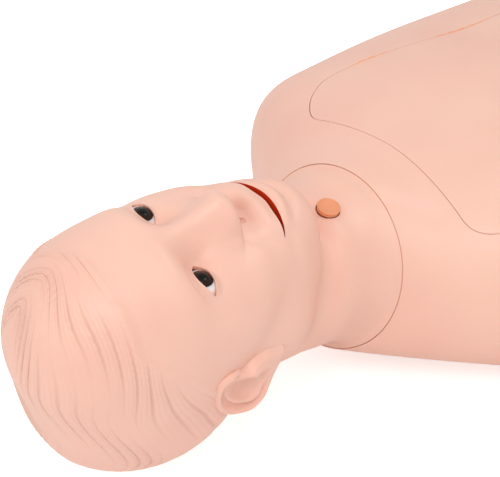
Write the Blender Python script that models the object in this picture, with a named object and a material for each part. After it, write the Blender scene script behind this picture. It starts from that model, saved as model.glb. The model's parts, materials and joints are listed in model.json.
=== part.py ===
# Half-body intubation training manikin, lying on its back.
# Metres, +Z up, head toward -Y, the manikin's right side toward +X, table at Z = 0.
import math

import bmesh
import bpy
import numpy as np
from mathutils import Matrix

# Clearances and walls
FIT_GAP = 0.0003
COVER_GAP = 0.0007
SKIN_WALL = 0.004
SKULL_WALL = 0.0028
TORSO_WALL = 0.006
COVER_WALL = 0.0028
TUBE_WALL = 0.0016
LID_WALL = 0.0016
PLATE_PLAY = 0.0016

# Torso, measured from the middle of the round neck opening
TORSO_LENGTH = 0.500
SHOULDER_WIDTH = 0.452
CHEST_WIDTH = 0.452
WAIST_WIDTH = 0.424
SHOULDER_RUN = 0.130
CHEST_RUN = 0.240
CHEST_RISE = 0.087
WAIST_RISE = 0.082
BACK_FLAT = 0.006
COLLAR_RADIUS = 0.0768
COLLAR_LIP = 0.0016
COLLAR_HEIGHT = 0.112
COLLAR_LEAN = math.radians(-16.1)
WAIST_PLATE_WALL = 0.004

# Chest cover outline, seen from above
COVER_TOP_Y = 0.066
COVER_END_Y = 0.455
COVER_CHEST_HALF = 0.130
COVER_WAIST_HALF = 0.094
COVER_CORNER = 0.028
COVER_DIP = 0.006
COVER_LEDGE = 0.010
PEG_RADIUS = 0.0024
PEG_LENGTH = 0.007
NIPPLE_RADIUS = 0.0045
NIPPLE_Y = 0.226

# Neck joint, measured along the collar's axis into the torso
NECK_LENGTH = 0.1554
NECK_DROP = 0.0202
NECK_RADIUS = 0.058
NECK_TURN = math.radians(13.6)
HEAD_PITCH = math.radians(14.0)
DISC_FACE = 0.003
DISC_WALL = 0.005
HUB_RADIUS = 0.056
HUB_WALL = 0.006
WASHER_WALL = 0.001
WASHER_RADIUS = 0.070
FLANGE_WALL = 0.005
RETAINER_WALL = 0.003
RETAINER_RADIUS = 0.066
RETAINER_LIP = 0.006
YOKE_WALL = 0.005
YOKE_HALF = 0.019
YOKE_EAR = 0.009
TILT_PIN_RADIUS = 0.003
SCREW_RADIUS = 0.0012
SCREW_HEAD = 0.0024
SCREW_HEAD_WALL = 0.0014

# Head, and the size for which its forms are written in design millimetres
HEAD_WIDTH = 0.161
HEAD_LENGTH = 0.251
HEAD_DEPTH = 0.208
DESIGN_HEAD = np.array([161.0, 251.0, 208.0])
EYE_RADIUS = 0.0125
JAW_PIN_RADIUS = 0.0025

# Airway and organs
TRACHEA_RADIUS = 0.0105
GULLET_RADIUS = 0.0085
BRONCHUS_RADIUS = 0.0075
STOMA_RADIUS = 0.0095
STOMA_STEM = 0.007
TUBE_END = 0.022
LARYNX_TOP = -0.066
LARYNX_FOOT = -0.036
LARYNX_Z = 0.0043
GULLET_TOP_Z = -0.0152
GULLET_END_Z = -0.026
LUNG_LENGTH = 0.170
LUNG_WIDTH = 0.092
LUNG_HEIGHT = 0.058
LUNG_X = 0.064
LUNG_Y = 0.092
STOMACH_LENGTH = 0.105
STOMACH_Y = 0.282
TRAY_HEIGHT = 0.066
TRAY_WALL = 0.003
TRAY_HALF = 0.118
TRAY_START = 0.062
TRAY_END = 0.440
BRONCHUS_Z = 0.100

# Values that follow from the sizes above
HEAD_SCALE = np.array([HEAD_WIDTH, HEAD_LENGTH, HEAD_DEPTH]) / DESIGN_HEAD
MM = 1000.0
GAP = FIT_GAP * MM
CROWN_Y = 0.1384 * HEAD_LENGTH / 0.251
OVERALL_LENGTH = TORSO_LENGTH + NECK_LENGTH + CROWN_Y
COLLAR_CENTRE = np.array([0.0, OVERALL_LENGTH / 2 - TORSO_LENGTH, COLLAR_HEIGHT])
DISC_BACK = DISC_FACE + DISC_WALL
FLANGE_FACE = DISC_BACK + WASHER_WALL + 2 * FIT_GAP
FLANGE_BACK = FLANGE_FACE + FLANGE_WALL
HUB_END = FLANGE_BACK + FIT_GAP + RETAINER_LIP
SHELL_END = TORSO_LENGTH - WAIST_PLATE_WALL - FIT_GAP
TRAY_TOP = TRAY_HEIGHT + TRAY_WALL
TMJ = np.array([0.0, 10.0, 14.0])
TILT_PIVOT = np.array([0.0, 50.0, -36.0])
SKULL_MIDDLE = np.array([0.0, -20.0, -5.0])

# Heights and halves inside the head, in design millimetres
SKULL_SPLIT = 8.0
BASE_TOP = 34.7
BASE_WALL = 4.0
BRACKET_OUT = 40.7
GUM_LINE = 43.3
UPPER_TIP = 51.5
LOWER_GUM = 67.2
LOWER_TIP = 60.2
PHARYNX_WIDE = 14.0
PALATE_REAR = 31.0
WIDE = 200.0


# Small numeric helpers

def mix(a, b, t):
    return a + (b - a) * t


def ease(t):
    t = np.clip(t, 0.0, 1.0)
    return t * t * (3.0 - 2.0 * t)


def bell(x, y, cx, cy, sx, sy):
    return np.exp(-0.5 * ((x - cx) / sx) ** 2 - 0.5 * ((y - cy) / sy) ** 2)


def ellipsoid(p, centre, radii):
    radii = np.array(radii, float)
    q = (p - np.array(centre, float)) / radii
    k0 = np.sqrt((q ** 2).sum(-1)) + 1e-9
    k1 = np.sqrt(((q / radii) ** 2).sum(-1)) + 1e-9
    return k0 * (k0 - 1.0) / k1


def join(a, b, k):
    # smooth union of two level functions, with a fillet of about k
    h = np.clip(0.5 + 0.5 * (b - a) / k, 0.0, 1.0)
    return mix(b, a, h) - k * h * (1.0 - h)


def meet(a, b, k):
    return -join(-a, -b, k)


def unit(v):
    return v / (np.linalg.norm(v, axis=-1, keepdims=True) + 1e-12)


def turn(angle, axis):
    a = unit(np.array(axis, float))
    k = np.array([[0, -a[2], a[1]], [a[2], 0, -a[0]], [-a[1], a[0], 0]])
    m = np.eye(4)
    m[:3, :3] = np.eye(3) + math.sin(angle) * k + (1 - math.cos(angle)) * k @ k
    return m


def shift(x, y, z):
    m = np.eye(4)
    m[:3, 3] = (x, y, z)
    return m


def apply(m, p):
    return np.asarray(p, float) @ m[:3, :3].T + m[:3, 3]


def undo(m, p):
    return (np.asarray(p, float) - m[:3, 3]) @ m[:3, :3]


# Frames: the neck turns about the collar's axis, the head tilts on the neck

X_AXIS = (1.0, 0.0, 0.0)
COLLAR_AXIS = (0.0, math.cos(COLLAR_LEAN), math.sin(COLLAR_LEAN))
TORSO_FRAME = shift(*COLLAR_CENTRE)
COLLAR_FRAME = TORSO_FRAME @ turn(COLLAR_LEAN, X_AXIS)
NECK_FRAME = TORSO_FRAME @ turn(NECK_TURN, COLLAR_AXIS) @ turn(COLLAR_LEAN, X_AXIS)
HEAD_FRAME = NECK_FRAME @ shift(0.0, -NECK_LENGTH, -NECK_DROP) @ turn(HEAD_PITCH, X_AXIS)
PIVOT_FRAME = HEAD_FRAME @ shift(*(TILT_PIVOT * HEAD_SCALE))
JAW_FRAME = HEAD_FRAME @ shift(*(TMJ * HEAD_SCALE))
BODY_FRAMES = {"torso": TORSO_FRAME, "neck": NECK_FRAME, "head": PIVOT_FRAME,
               "jaw": JAW_FRAME, "cover": TORSO_FRAME}


# Level functions of the soft skin, negative inside

def head_level(q):
    # q in design millimetres: x to the manikin's right, y to its feet, z to its face
    m = np.concatenate([np.abs(q[..., :1]), q[..., 1:]], -1)
    d = join(ellipsoid(q, (0, -40, -24), (80, 91, 86)),
             ellipsoid(q, (0, -56, 22), (76, 84, 76)), 22)
    d = join(d, ellipsoid(m, (0, 14, 26), (67, 70, 60)), 24)
    d = join(d, ellipsoid(m, (47, 3, 47), (21, 26, 23)), 18)
    d = join(d, ellipsoid(m, (0, 62, 32), (57, 49, 52)), 20)
    d = join(d, ellipsoid(m, (52, 47, 9), (20, 32, 26)), 18)
    return join(d, ellipsoid(q, (0, 84, 65), (29, 18, 22)), 16)


def head_relief(q):
    # height of the brows, eye hollows, nose, lips and chin groove over the plain form
    a, x, y = np.abs(q[..., 0]), q[..., 0], q[..., 1]
    h = 2.0 * bell(a, y, 26, -38, 16, 8)
    h -= 5.0 * bell(a, y, 33, -18, 15, 11) + 3.0 * bell(a, y, 15, -14, 7, 9)
    tip = 15.0
    bridge = mix(3.0, 20.0, np.clip((y + 24) / (tip + 24), 0, 1) ** 1.3) * ease((y + 40) / 20)
    base = 20.0 * np.clip(1 - ((y - tip) / 21.0) ** 2, 0, 1) ** 0.8
    wide = mix(7.0, 11.0, np.clip((y + 20) / 36, 0, 1))
    h += np.where(y < tip, bridge, base) * np.exp(-0.5 * (x / wide) ** 2)
    h += 8.0 * bell(a, y, 15, 24, 6.5, 7)
    h += 5.5 * bell(x, y, 0, 46, 22, 4.5) - 3.0 * bell(x, y, 0, 54.5, 24, 3.0)
    h += 6.0 * bell(x, y, 0, 63, 18, 5.5) - 2.5 * bell(x, y, 0, 75, 18, 4)
    return h * ease((q[..., 2] - 20) / 25)


def hollows_only(q):
    return np.minimum(head_relief(q), 0.0)


def neck_level(p):
    # a tube from the skull to the collar, flared at its foot; p in metres in the world
    q = undo(NECK_FRAME, p)
    x, y, z = q[..., 0], q[..., 1], q[..., 2]
    t = np.clip((y + NECK_LENGTH - 0.02) / (NECK_LENGTH - 0.02), 0.0, 1.0)
    mid = mix(-0.036, 0.0, t)
    rx, rz = mix(NECK_RADIUS, NECK_RADIUS + 0.004, t), mix(NECK_RADIUS - 0.008, NECK_RADIUS, t)
    tube = (np.sqrt((x / rx) ** 2 + ((z - mid) / rz) ** 2) - 1.0) * np.minimum(rx, rz)
    tube = meet(tube, -0.108 - y, 0.010)
    flare = COLLAR_RADIUS - (COLLAR_RADIUS - NECK_RADIUS) * (1 - np.exp(np.minimum(y, 0.0) / 0.013))
    foot = meet(np.sqrt(x ** 2 + z ** 2) - flare, -0.045 - y, 0.010)
    return join(tube, foot, 0.010)


def skin_level(p):
    q = undo(HEAD_FRAME, p) / HEAD_SCALE
    return join(head_level(q) * HEAD_SCALE.min(), neck_level(p), 0.016)


def face_height(x, y, inset=0.0, relief=head_relief):
    # height of the skin's front, or of a form inset below it, in design millimetres
    low, high = 0.0, 140.0
    for _ in range(40):
        middle = 0.5 * (low + high)
        inside = head_level(np.array([x, y, middle])) + inset < 0
        low, high = (middle, high) if inside else (low, middle)
    return low + float(relief(np.array([x, y, low])))


FAN_END = 0.55
JAW_END = 0.75

# Ring sections of the skin, fanned over the skull and straightened along the neck

def face_stations(count):
    # stations from crown to collar, crowded over the eyes, nose and mouth
    return np.interp(np.linspace(0, 1, count), [0, 0.14, 0.26, 0.68, 0.84, 1],
                     [0, 0.25, 0.40, 0.62, 0.76, 1])


def section_frames(u):
    fan = np.clip(u / FAN_END, 0, 1)
    jaw = np.clip((u - FAN_END) / (JAW_END - FAN_END), 0, 1)
    neck = np.clip((u - JAW_END) / (1 - JAW_END), 0, 1)
    angle = np.radians(mix(83.0, 0.0, fan) - 26.0 * jaw)
    foot = np.stack([0 * u, 45.0 + 0 * u, np.where(u < FAN_END, -150.0, -90.0)], -1)
    side = np.stack([1 + 0 * u, 0 * u, 0 * u], -1)
    up = np.stack([0 * u, -np.sin(angle), np.cos(angle)], -1)
    foot = apply(HEAD_FRAME, foot * HEAD_SCALE)
    side = side @ HEAD_FRAME[:3, :3].T
    up = up @ HEAD_FRAME[:3, :3].T
    ring_foot = apply(NECK_FRAME, np.array([0.0, 0.0, -COLLAR_RADIUS - 0.012]))
    foot = mix(foot, ring_foot, neck[:, None])
    side = unit(mix(side, NECK_FRAME[:3, 0], ease(neck)[:, None]))
    up = unit(mix(up, NECK_FRAME[:3, 2], neck[:, None]))
    return foot, side, up


def around(count, crowd=0.6):
    # angles round a section, crowded at the front
    v = np.linspace(-math.pi, math.pi, count, endpoint=False)
    return v - crowd * np.sin(v)


def skin_rings(u, v, inset=0.0, relief=None, reach=0.17):
    # each ring is where the rays of its section leave the form that lies inset below the skin
    foot, side, up = section_frames(u)
    t = np.linspace(0.0, 0.33, 331)
    inside = skin_level(foot[:, None] + t[None, :, None] * up[:, None]) + inset < 0
    keep = inside.any(1)
    first = inside.argmax(1)
    last = len(t) - 1 - inside[:, ::-1].argmax(1)
    centre = foot + (0.5 * (t[first] + t[last]))[:, None] * up
    side, up, centre = side[keep], up[keep], centre[keep]
    ray = np.sin(v)[None, :, None] * side[:, None] + np.cos(v)[None, :, None] * up[:, None]
    low, high = np.zeros(ray.shape[:2]), np.full(ray.shape[:2], reach)
    for _ in range(24):
        middle = 0.5 * (low + high)
        within = skin_level(centre[:, None] + middle[..., None] * ray) + inset < 0
        low, high = np.where(within, middle, low), np.where(within, high, middle)
    rings = centre[:, None] + low[..., None] * ray
    if relief is not None:
        q = undo(HEAD_FRAME, rings) / HEAD_SCALE
        q[..., 2] += relief(q)
        rings = apply(HEAD_FRAME, q * HEAD_SCALE)
    return rings


# Torso sections

def torso_section(s):
    ring = COLLAR_RADIUS + COLLAR_LIP
    rise = join(1.10 * s / SHOULDER_RUN, 1.0 + 0 * s, 0.30)
    w = mix(ring, SHOULDER_WIDTH / 2, np.clip(rise, 0, 1))
    w = mix(w, CHEST_WIDTH / 2, ease((s - SHOULDER_RUN) / (CHEST_RUN - SHOULDER_RUN)))
    w = mix(w, WAIST_WIDTH / 2, ease((s - CHEST_RUN) / (TORSO_LENGTH - CHEST_RUN)))
    lifted = 1 - (1 - np.clip(s / CHEST_RUN, 0, 1)) ** 1.6
    top = mix(ring * math.cos(COLLAR_LEAN), CHEST_RISE, lifted)
    top = mix(top, WAIST_RISE, ease((s - CHEST_RUN) / (TORSO_LENGTH - CHEST_RUN)))
    sunk = 1 - (1 - np.clip(s / (1.2 * SHOULDER_RUN), 0, 1)) ** 1.6
    low = mix(-ring * math.cos(COLLAR_LEAN), -COLLAR_HEIGHT - BACK_FLAT, sunk)
    lean = COLLAR_LEAN * (1 - ease(s / (1.3 * SHOULDER_RUN)))
    power = mix(2.0, 2.1, ease(s / (0.5 * CHEST_RUN)))
    return w, top, low, lean, power


def chest_relief(x, s):
    h = 0.005 * bell(np.abs(x), s, 0.080, 0.190, 0.045, 0.050)
    return h - 0.004 * bell(np.abs(x), s, 0.062, 0.055, 0.035, 0.014)


def torso_rings(s, v):
    # superellipse sections that lean with the collar at the neck and stand upright below
    w, top, low, lean, power = [k[:, None] for k in torso_section(s)]
    sn, cs = np.sin(v)[None], np.cos(v)[None]
    x = w * np.sign(sn) * np.abs(sn) ** (2 / power)
    h = (top - low) / 2 / np.cos(lean)
    h = h * np.sign(cs) * np.abs(cs) ** (2 / power)
    y = s[:, None] - h * np.sin(lean)
    z = (top + low) / 2 + h * np.cos(lean)
    z = z + chest_relief(x, y) * np.clip(cs, 0, 1) ** 0.5
    rings = np.stack([x, y, z], -1) + COLLAR_CENTRE
    rings[..., 2] = np.maximum(rings[..., 2], 0.0)
    return rings


def torso_normals(s, v):
    step = 1e-4
    along = torso_rings(s + step, v) - torso_rings(s - step, v)
    across = torso_rings(s, v + step) - torso_rings(s, v - step)
    return unit(np.cross(across, along))


def chest_top(x, y):
    # height of the front of the torso over plan points given from the neck opening
    s = y.copy()
    for _ in range(14):
        w, top, low, lean, power = torso_section(s)
        sn = np.clip(np.abs(x) / w, 0, 0.999) ** (power / 2)
        cs = np.sqrt(1 - sn ** 2)
        h = (top - low) / 2 / np.cos(lean) * cs ** (2 / power)
        s = y + h * np.sin(lean)
    return (top + low) / 2 + h * np.cos(lean) + chest_relief(x, y) * cs ** 0.5


# Mesh builders: each gives (points, faces) of a closed form

def loft(rings, caps="flat"):
    # rings joined in order; caps are flat, poles, or the last ring meets the first
    n, m = rings.shape[:2]
    count = n if caps == "loop" else n - 1
    i = np.arange(count)[:, None] * m
    after = (np.arange(count)[:, None] + 1) % n * m
    j = np.arange(m)[None]
    k = (j + 1) % m
    faces = np.stack([i + j, i + k, after + k, after + j], -1).reshape(-1, 4).tolist()
    points = rings.reshape(-1, 3)
    if caps == "flat":
        faces += [list(range(m))[::-1], list(range((n - 1) * m, n * m))]
    if caps == "pole":
        points = np.vstack([points, rings[0].mean(0), rings[-1].mean(0)])
        last = (n - 1) * m
        faces += [[int(b), int(a), n * m] for a, b in zip(j[0], k[0])]
        faces += [[last + int(a), last + int(b), n * m + 1] for a, b in zip(j[0], k[0])]
    return points, faces


def in_triangles(shape):
    # every quad split along the same diagonal, so that nested forms stay nested
    faces = [f for quad in shape[1] for f in ([quad[:3], [quad[0], quad[2], quad[3]]]
                                              if len(quad) == 4 else [quad])]
    return shape[0], faces


def together(*shapes):
    points, faces, start = [], [], 0
    for p, f in shapes:
        points.append(p)
        faces += [[index + start for index in face] for face in f]
        start += len(p)
    return np.vstack(points), faces


def moved(shape, matrix):
    return apply(matrix, shape[0]), shape[1]


def mirrored(shape):
    return shape[0] * np.array([-1.0, 1.0, 1.0]), shape[1]


def in_head(shape):
    # from design millimetres to the world
    return apply(HEAD_FRAME, shape[0] * HEAD_SCALE), shape[1]


def turned(profile, sides, caps="flat"):
    # (radius, y) points turned round the Y axis
    profile = np.array(profile, float)
    v = np.linspace(0, 2 * math.pi, sides, endpoint=False)
    r, y = profile[:, :1], profile[:, 1:] + 0 * v
    return loft(np.stack([r * np.sin(v), y, r * np.cos(v)], -1), caps)


def prism(outline, low, high):
    # (y, z) outline carried along X
    outline = np.array(outline, float)
    rings = [np.column_stack([np.full(len(outline), x), outline]) for x in (low, high)]
    return loft(np.array(rings))


def box(low, high):
    x0, y0, z0 = low
    x1, y1, z1 = high
    return prism([(y0, z0), (y1, z0), (y1, z1), (y0, z1)], x0, x1)


def egg(centre, radii, sides=20, rows=10):
    t = np.linspace(0, math.pi, rows + 1)[1:-1]
    shape = turned(np.column_stack([np.sin(t), -np.cos(t)]), sides, "pole")
    points = shape[0].copy()
    points[-2:] = [[0, -1, 0], [0, 1, 0]]
    return points * np.array(radii, float) + np.array(centre, float), shape[1]


def rod(start, end, radius, sides=16):
    # a plain cylinder between two points
    start, end = np.array(start, float), np.array(end, float)
    return loft(sweep(np.array([start, end]), radius, radius, sides, across(end - start)))


def across(direction):
    # an axis well away from the direction
    return np.eye(3)[int(np.argmin(np.abs(direction)))]


def smooth_path(points, count):
    # Catmull-Rom curve through the points
    p = np.array(points, float)
    p = np.vstack([2 * p[0] - p[1], p, 2 * p[-1] - p[-2]])
    t = np.linspace(0, len(points) - 1, count)
    k = np.minimum(t.astype(int), len(points) - 2)
    f = (t - k)[:, None]
    a, b, c, d = p[k], p[k + 1], p[k + 2], p[k + 3]
    return 0.5 * (2 * b + (c - a) * f + (2 * a - 5 * b + 4 * c - d) * f ** 2
                  + (3 * b - a - 3 * c + d) * f ** 3)


def sweep(path, wide, deep, sides, reference, ends=None):
    # elliptical sections along a path; wide lies across the reference axis
    t = unit(np.gradient(path, axis=0))
    if ends is not None:
        t[0], t[-1] = unit(np.array(ends[0], float)), unit(np.array(ends[1], float))
    a = unit(np.cross(np.array(reference, float), t))
    b = np.cross(t, a)
    v = np.linspace(0, 2 * math.pi, sides, endpoint=False)
    wide = np.broadcast_to(wide, (len(path),))[:, None, None]
    deep = np.broadcast_to(deep, (len(path),))[:, None, None]
    cs, sn = np.cos(v)[None, :, None], np.sin(v)[None, :, None]
    return path[:, None] + wide * cs * a[:, None] + deep * sn * b[:, None]


def pipe(path, wide, deep, wall, sides, reference, ends=None):
    outer = sweep(path, wide, deep, sides, reference, ends)
    inner = sweep(path, np.asarray(wide) - wall, np.asarray(deep) - wall, sides, reference, ends)
    return loft(np.concatenate([outer, inner[::-1]]), "loop")


# Blender objects

def clear_scene():
    for ob in list(bpy.data.objects):
        bpy.data.objects.remove(ob, do_unlink=True)


def material(name, colour, roughness, metallic=0.0):
    mat = bpy.data.materials.new(name)
    mat.use_nodes = True
    shader = mat.node_tree.nodes["Principled BSDF"]
    shader.inputs["Base Color"].default_value = (*colour, 1.0)
    shader.inputs["Roughness"].default_value = roughness
    shader.inputs["Metallic"].default_value = metallic
    mat.diffuse_color = (*colour, 1.0)
    return mat


def axis_empties():
    # one empty on each joint's axis
    empties = {}
    for body, frame in BODY_FRAMES.items():
        empty = bpy.data.objects.new(body + "_axis", None)
        bpy.context.collection.objects.link(empty)
        empty.matrix_world = Matrix(frame.tolist())
        empties[body] = empty
    return empties


def object_of(name, shape, body):
    mesh = bpy.data.meshes.new(name)
    mesh.from_pydata(undo(BODY_FRAMES[body], shape[0]).tolist(), [], shape[1])
    bm = bmesh.new()
    bm.from_mesh(mesh)
    bmesh.ops.recalc_face_normals(bm, faces=bm.faces)
    bm.to_mesh(mesh)
    bm.free()
    ob = bpy.data.objects.new(name, mesh)
    bpy.context.collection.objects.link(ob)
    ob.parent = AXES[body]
    ob["body"] = body
    return ob


def piece(name, shape, body, mat):
    ob = object_of(name, shape, body)
    ob.data.materials.append(mat)
    ob.data.shade_smooth()
    ob.data.set_sharp_from_angle(angle=math.radians(35))
    return ob


def boolean(target, shape, operation, note):
    tool = object_of(target.name + "_" + note, shape, target["body"])
    tool.hide_render = True
    tool.display_type = "WIRE"
    modifier = target.modifiers.new(note, "BOOLEAN")
    modifier.operation = operation
    modifier.solver = "EXACT"
    modifier.object = tool


def cut(target, shape, note):
    boolean(target, shape, "DIFFERENCE", note)


def fuse(target, shape, note):
    boolean(target, shape, "UNION", note)


# Places that several pieces share

def head_point(x, y, z):
    return np.array([x, y, z], float)


def eye_centre(side):
    x, y = 34.0, -21.0
    z = face_height(x, y) - (LID_WALL + EYE_RADIUS) * MM
    return head_point(side * x, y, z)


def stoma_root():
    return np.array([0.0, -0.0203, 0.0030])


def stoma_direction():
    return unit(np.array([0.0, -0.25, 0.97]))


def stoma_reach():
    # distance from the windpipe's middle to the skin along the plug's axis
    low, high = 0.0, 0.12
    for _ in range(40):
        middle = 0.5 * (low + high)
        p = apply(NECK_FRAME, stoma_root() + middle * stoma_direction())
        low, high = (middle, high) if skin_level(p) < 0 else (low, middle)
    return low


def along_stoma(distance):
    return stoma_root() + distance * stoma_direction()


def screw(radius, length, head):
    return turned([(radius, 0), (radius, length), (head, length), (head, length + SCREW_HEAD_WALL)], 8)


def screw_hole(length):
    bore, sink = SCREW_RADIUS + FIT_GAP, SCREW_HEAD + FIT_GAP
    seat = length - FIT_GAP
    return turned([(bore, -FIT_GAP), (bore, seat), (sink, seat), (sink, length + 0.01)], 8)


def gullet_z(y):
    return mix(GULLET_TOP_Z, GULLET_END_Z, (y - LARYNX_TOP) / (TUBE_END - LARYNX_TOP))


# Soft skin of the head and neck

def inner_stations():
    # stations shared by the skin's inside and the skull, then those of the neck
    return np.linspace(0.0, FAN_END, 11), np.linspace(FAN_END, 1.0, 8)[1:]


def inner_angles():
    return around(20, 0.3)


def neck_rim(radius, depth, v):
    circle = np.stack([radius * np.sin(v), depth + 0 * v, radius * np.cos(v)], -1)
    return apply(NECK_FRAME, circle)[None]


def skin_outside():
    v = around(40)
    rings = skin_rings(face_stations(38), v, 0.0, head_relief)
    return loft(np.concatenate([rings, neck_rim(COLLAR_RADIUS, FLANGE_FACE - FIT_GAP, v)]), "pole")


def skin_inside():
    v = inner_angles()
    rings = skin_rings(np.concatenate(inner_stations()), v, SKIN_WALL, hollows_only)
    rim = neck_rim(COLLAR_RADIUS - SKIN_WALL - 0.0016, 0.028, v)
    return in_triangles(loft(np.concatenate([rings, rim]), "pole"))


def ear(side):
    # a dished oval on a broad root, leaning back at its top
    rows = [(0.62, 60.0), (0.80, 70.0), (0.98, 79.0), (1.0, 84.0), (0.93, 87.0), (0.80, 86.0),
            (0.66, 80.0), (0.46, 77.5)]
    v = np.linspace(0, 2 * math.pi, 20, endpoint=False)
    rings = []
    for scale, x in rows:
        lobe = 1 - 0.28 * ease(np.cos(v))
        y = 34.0 * scale * np.cos(v)
        z = 19.0 * scale * np.sin(v) * lobe
        rings.append(np.stack([x - 0.10 * z + 0 * v, y, z], -1))
    points, faces = loft(np.array(rings), "pole")
    points = apply(shift(0, 7, -2) @ turn(math.radians(14), X_AXIS), points)
    shape = points, faces
    return shape if side > 0 else mirrored(shape)


def mouth_slot():
    # a lens between the lips, from behind the teeth's front to clear of the face
    t = np.linspace(-1, 1, 12)
    lift = 4.0 * np.sqrt(np.clip(1 - t ** 2, 0, 1))
    upper = np.column_stack([27 * t, 56.5 - lift])
    lower = np.column_stack([27 * t[-2:0:-1], 56.5 + lift[-2:0:-1]])
    outline = np.vstack([upper, lower])
    rings = [np.column_stack([outline, np.full(len(outline), z)]) for z in (58.0, 125.0)]
    return loft(np.array(rings))


def eye_slot(side):
    # an almond between the lids
    x, y, z = eye_centre(side)
    t = np.linspace(-1, 1, 9)
    lift = 4.4 * (1 - t ** 2) ** 0.8
    outline = np.vstack([np.column_stack([x + 0.4 + 15 * t, y - lift]),
                         np.column_stack([x + 0.4 + 15 * t[-2:0:-1], y + lift[-2:0:-1]])])
    rings = [np.column_stack([outline, np.full(len(outline), h)]) for h in (z + 2.0, z + 60.0)]
    return loft(np.array(rings))


def nostril(side):
    x, y = 7.5 * side, 34.0
    z = face_height(7.5, 33.0) - 1.0
    return rod((x, y + 4.0, z + 3.0), (x * 0.9, y - 8.0, z - 1.0), 3.2, 10)


def head_skin():
    skin = piece("head_skin", skin_outside(), "head", SKIN)
    for note, side in (("right", 1), ("left", -1)):
        fuse(skin, in_head(ear(side)), note + "_ear")
    cut(skin, skin_inside(), "inside")
    bore = COLLAR_RADIUS - SKIN_WALL
    cut(skin, moved(turned([(bore, DISC_FACE - 0.001), (bore, 0.03)], 32), NECK_FRAME), "neck_bore")
    cut(skin, in_head(mouth_slot()), "mouth")
    for note, side in (("right", 1), ("left", -1)):
        cut(skin, in_head(eye_ball(side, GAP)), note + "_eye")
        cut(skin, in_head(nostril(side)), note + "_nostril")
        cut(skin, in_head(eye_slot(side)), note + "_lids")
    reach = stoma_reach()
    hole = rod(along_stoma(reach - 0.012), along_stoma(reach + 0.02), STOMA_RADIUS + FIT_GAP, 20)
    cut(skin, moved(hole, NECK_FRAME), "stoma")
    return skin


# Hard skull under the skin

def skull_outer():
    # the skin's inner rings moved toward the skull's middle line, so that the two nest
    rings = skin_rings(inner_stations()[0], inner_angles(), SKIN_WALL, hollows_only)
    q = undo(HEAD_FRAME, rings)
    middle = np.zeros_like(q) + SKULL_MIDDLE * HEAD_SCALE
    middle[..., 1] = np.maximum(middle[..., 1], q[..., 1])
    inward = unit(apply(HEAD_FRAME, middle) - rings)
    return in_triangles(loft(rings + 1.6 * FIT_GAP * inward, "pole"))


def skull_inner():
    inset = SKIN_WALL + SKULL_WALL + FIT_GAP
    rings = skin_rings(inner_stations()[0], inner_angles(), inset, hollows_only)
    return in_triangles(loft(rings, "pole"))


def skull_split(z, front):
    # everything before or behind the skull's split, and everything below its floor
    end, floor = (WIDE if front else -WIDE), BASE_TOP - GAP
    return prism([(-WIDE, z), (floor, z), (floor, -end), (WIDE, -end), (WIDE, end), (-WIDE, end)], -WIDE, WIDE)


def level_outline(y, z, angles):
    # outline inside the skin at one height of the head, seen along the head
    inset = (SKIN_WALL + PLATE_PLAY) * MM
    low, high = 0 * angles, 0 * angles + 140.0
    way = np.column_stack([np.sin(angles), 0 * angles, np.cos(angles)])
    for _ in range(30):
        middle = 0.5 * (low + high)
        inside = head_level(np.array([0.0, y, z]) + middle[:, None] * way) + inset < 0
        low, high = np.where(inside, middle, low), np.where(inside, high, middle)
    return np.array([0.0, y, z]) + low[:, None] * way


def level_plate(top, bottom, z, angles):
    return loft(np.array([level_outline(top, z, angles), level_outline(bottom, z, angles)]), "pole")


def eye_cup(name, side):
    # a cup behind the eye, open to the front
    bore, wall = EYE_RADIUS * MM + GAP, SKULL_WALL * MM
    t = np.radians(np.arange(30, 76, 15))
    outer = np.column_stack([(bore + wall) * np.sin(t), -(bore + wall) * np.cos(t)])
    inner = np.column_stack([bore * np.sin(t), -bore * np.cos(t)])
    profile = np.vstack([outer, inner[::-1]])
    points, faces = turned(profile, 16, "loop")
    points = apply(turn(math.radians(90), X_AXIS), points) + eye_centre(side)
    return piece(name, in_head((points, faces)), "head", SHELL)


def eye_window(side):
    radius = EYE_RADIUS * MM + SKULL_WALL * MM + 2 * GAP
    points, faces = turned([(radius, -8.0), (radius, 40.0)], 16)
    return apply(turn(math.radians(90), X_AXIS), points) + eye_centre(side), faces


def skull_rear():
    rear = piece("skull_rear", skull_outer(), "head", SHELL)
    cut(rear, in_head(skull_split(SKULL_SPLIT, True)), "face_half")
    cut(rear, skull_inner(), "inside")
    return rear


def skull_face():
    face = piece("skull_face", skull_outer(), "head", SHELL)
    cut(face, in_head(skull_split(SKULL_SPLIT + GAP, False)), "rear_half")
    cut(face, skull_inner(), "inside")
    cut(face, in_head(eye_window(1)), "right_window")
    cut(face, in_head(eye_window(-1)), "left_window")
    return face


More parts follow.
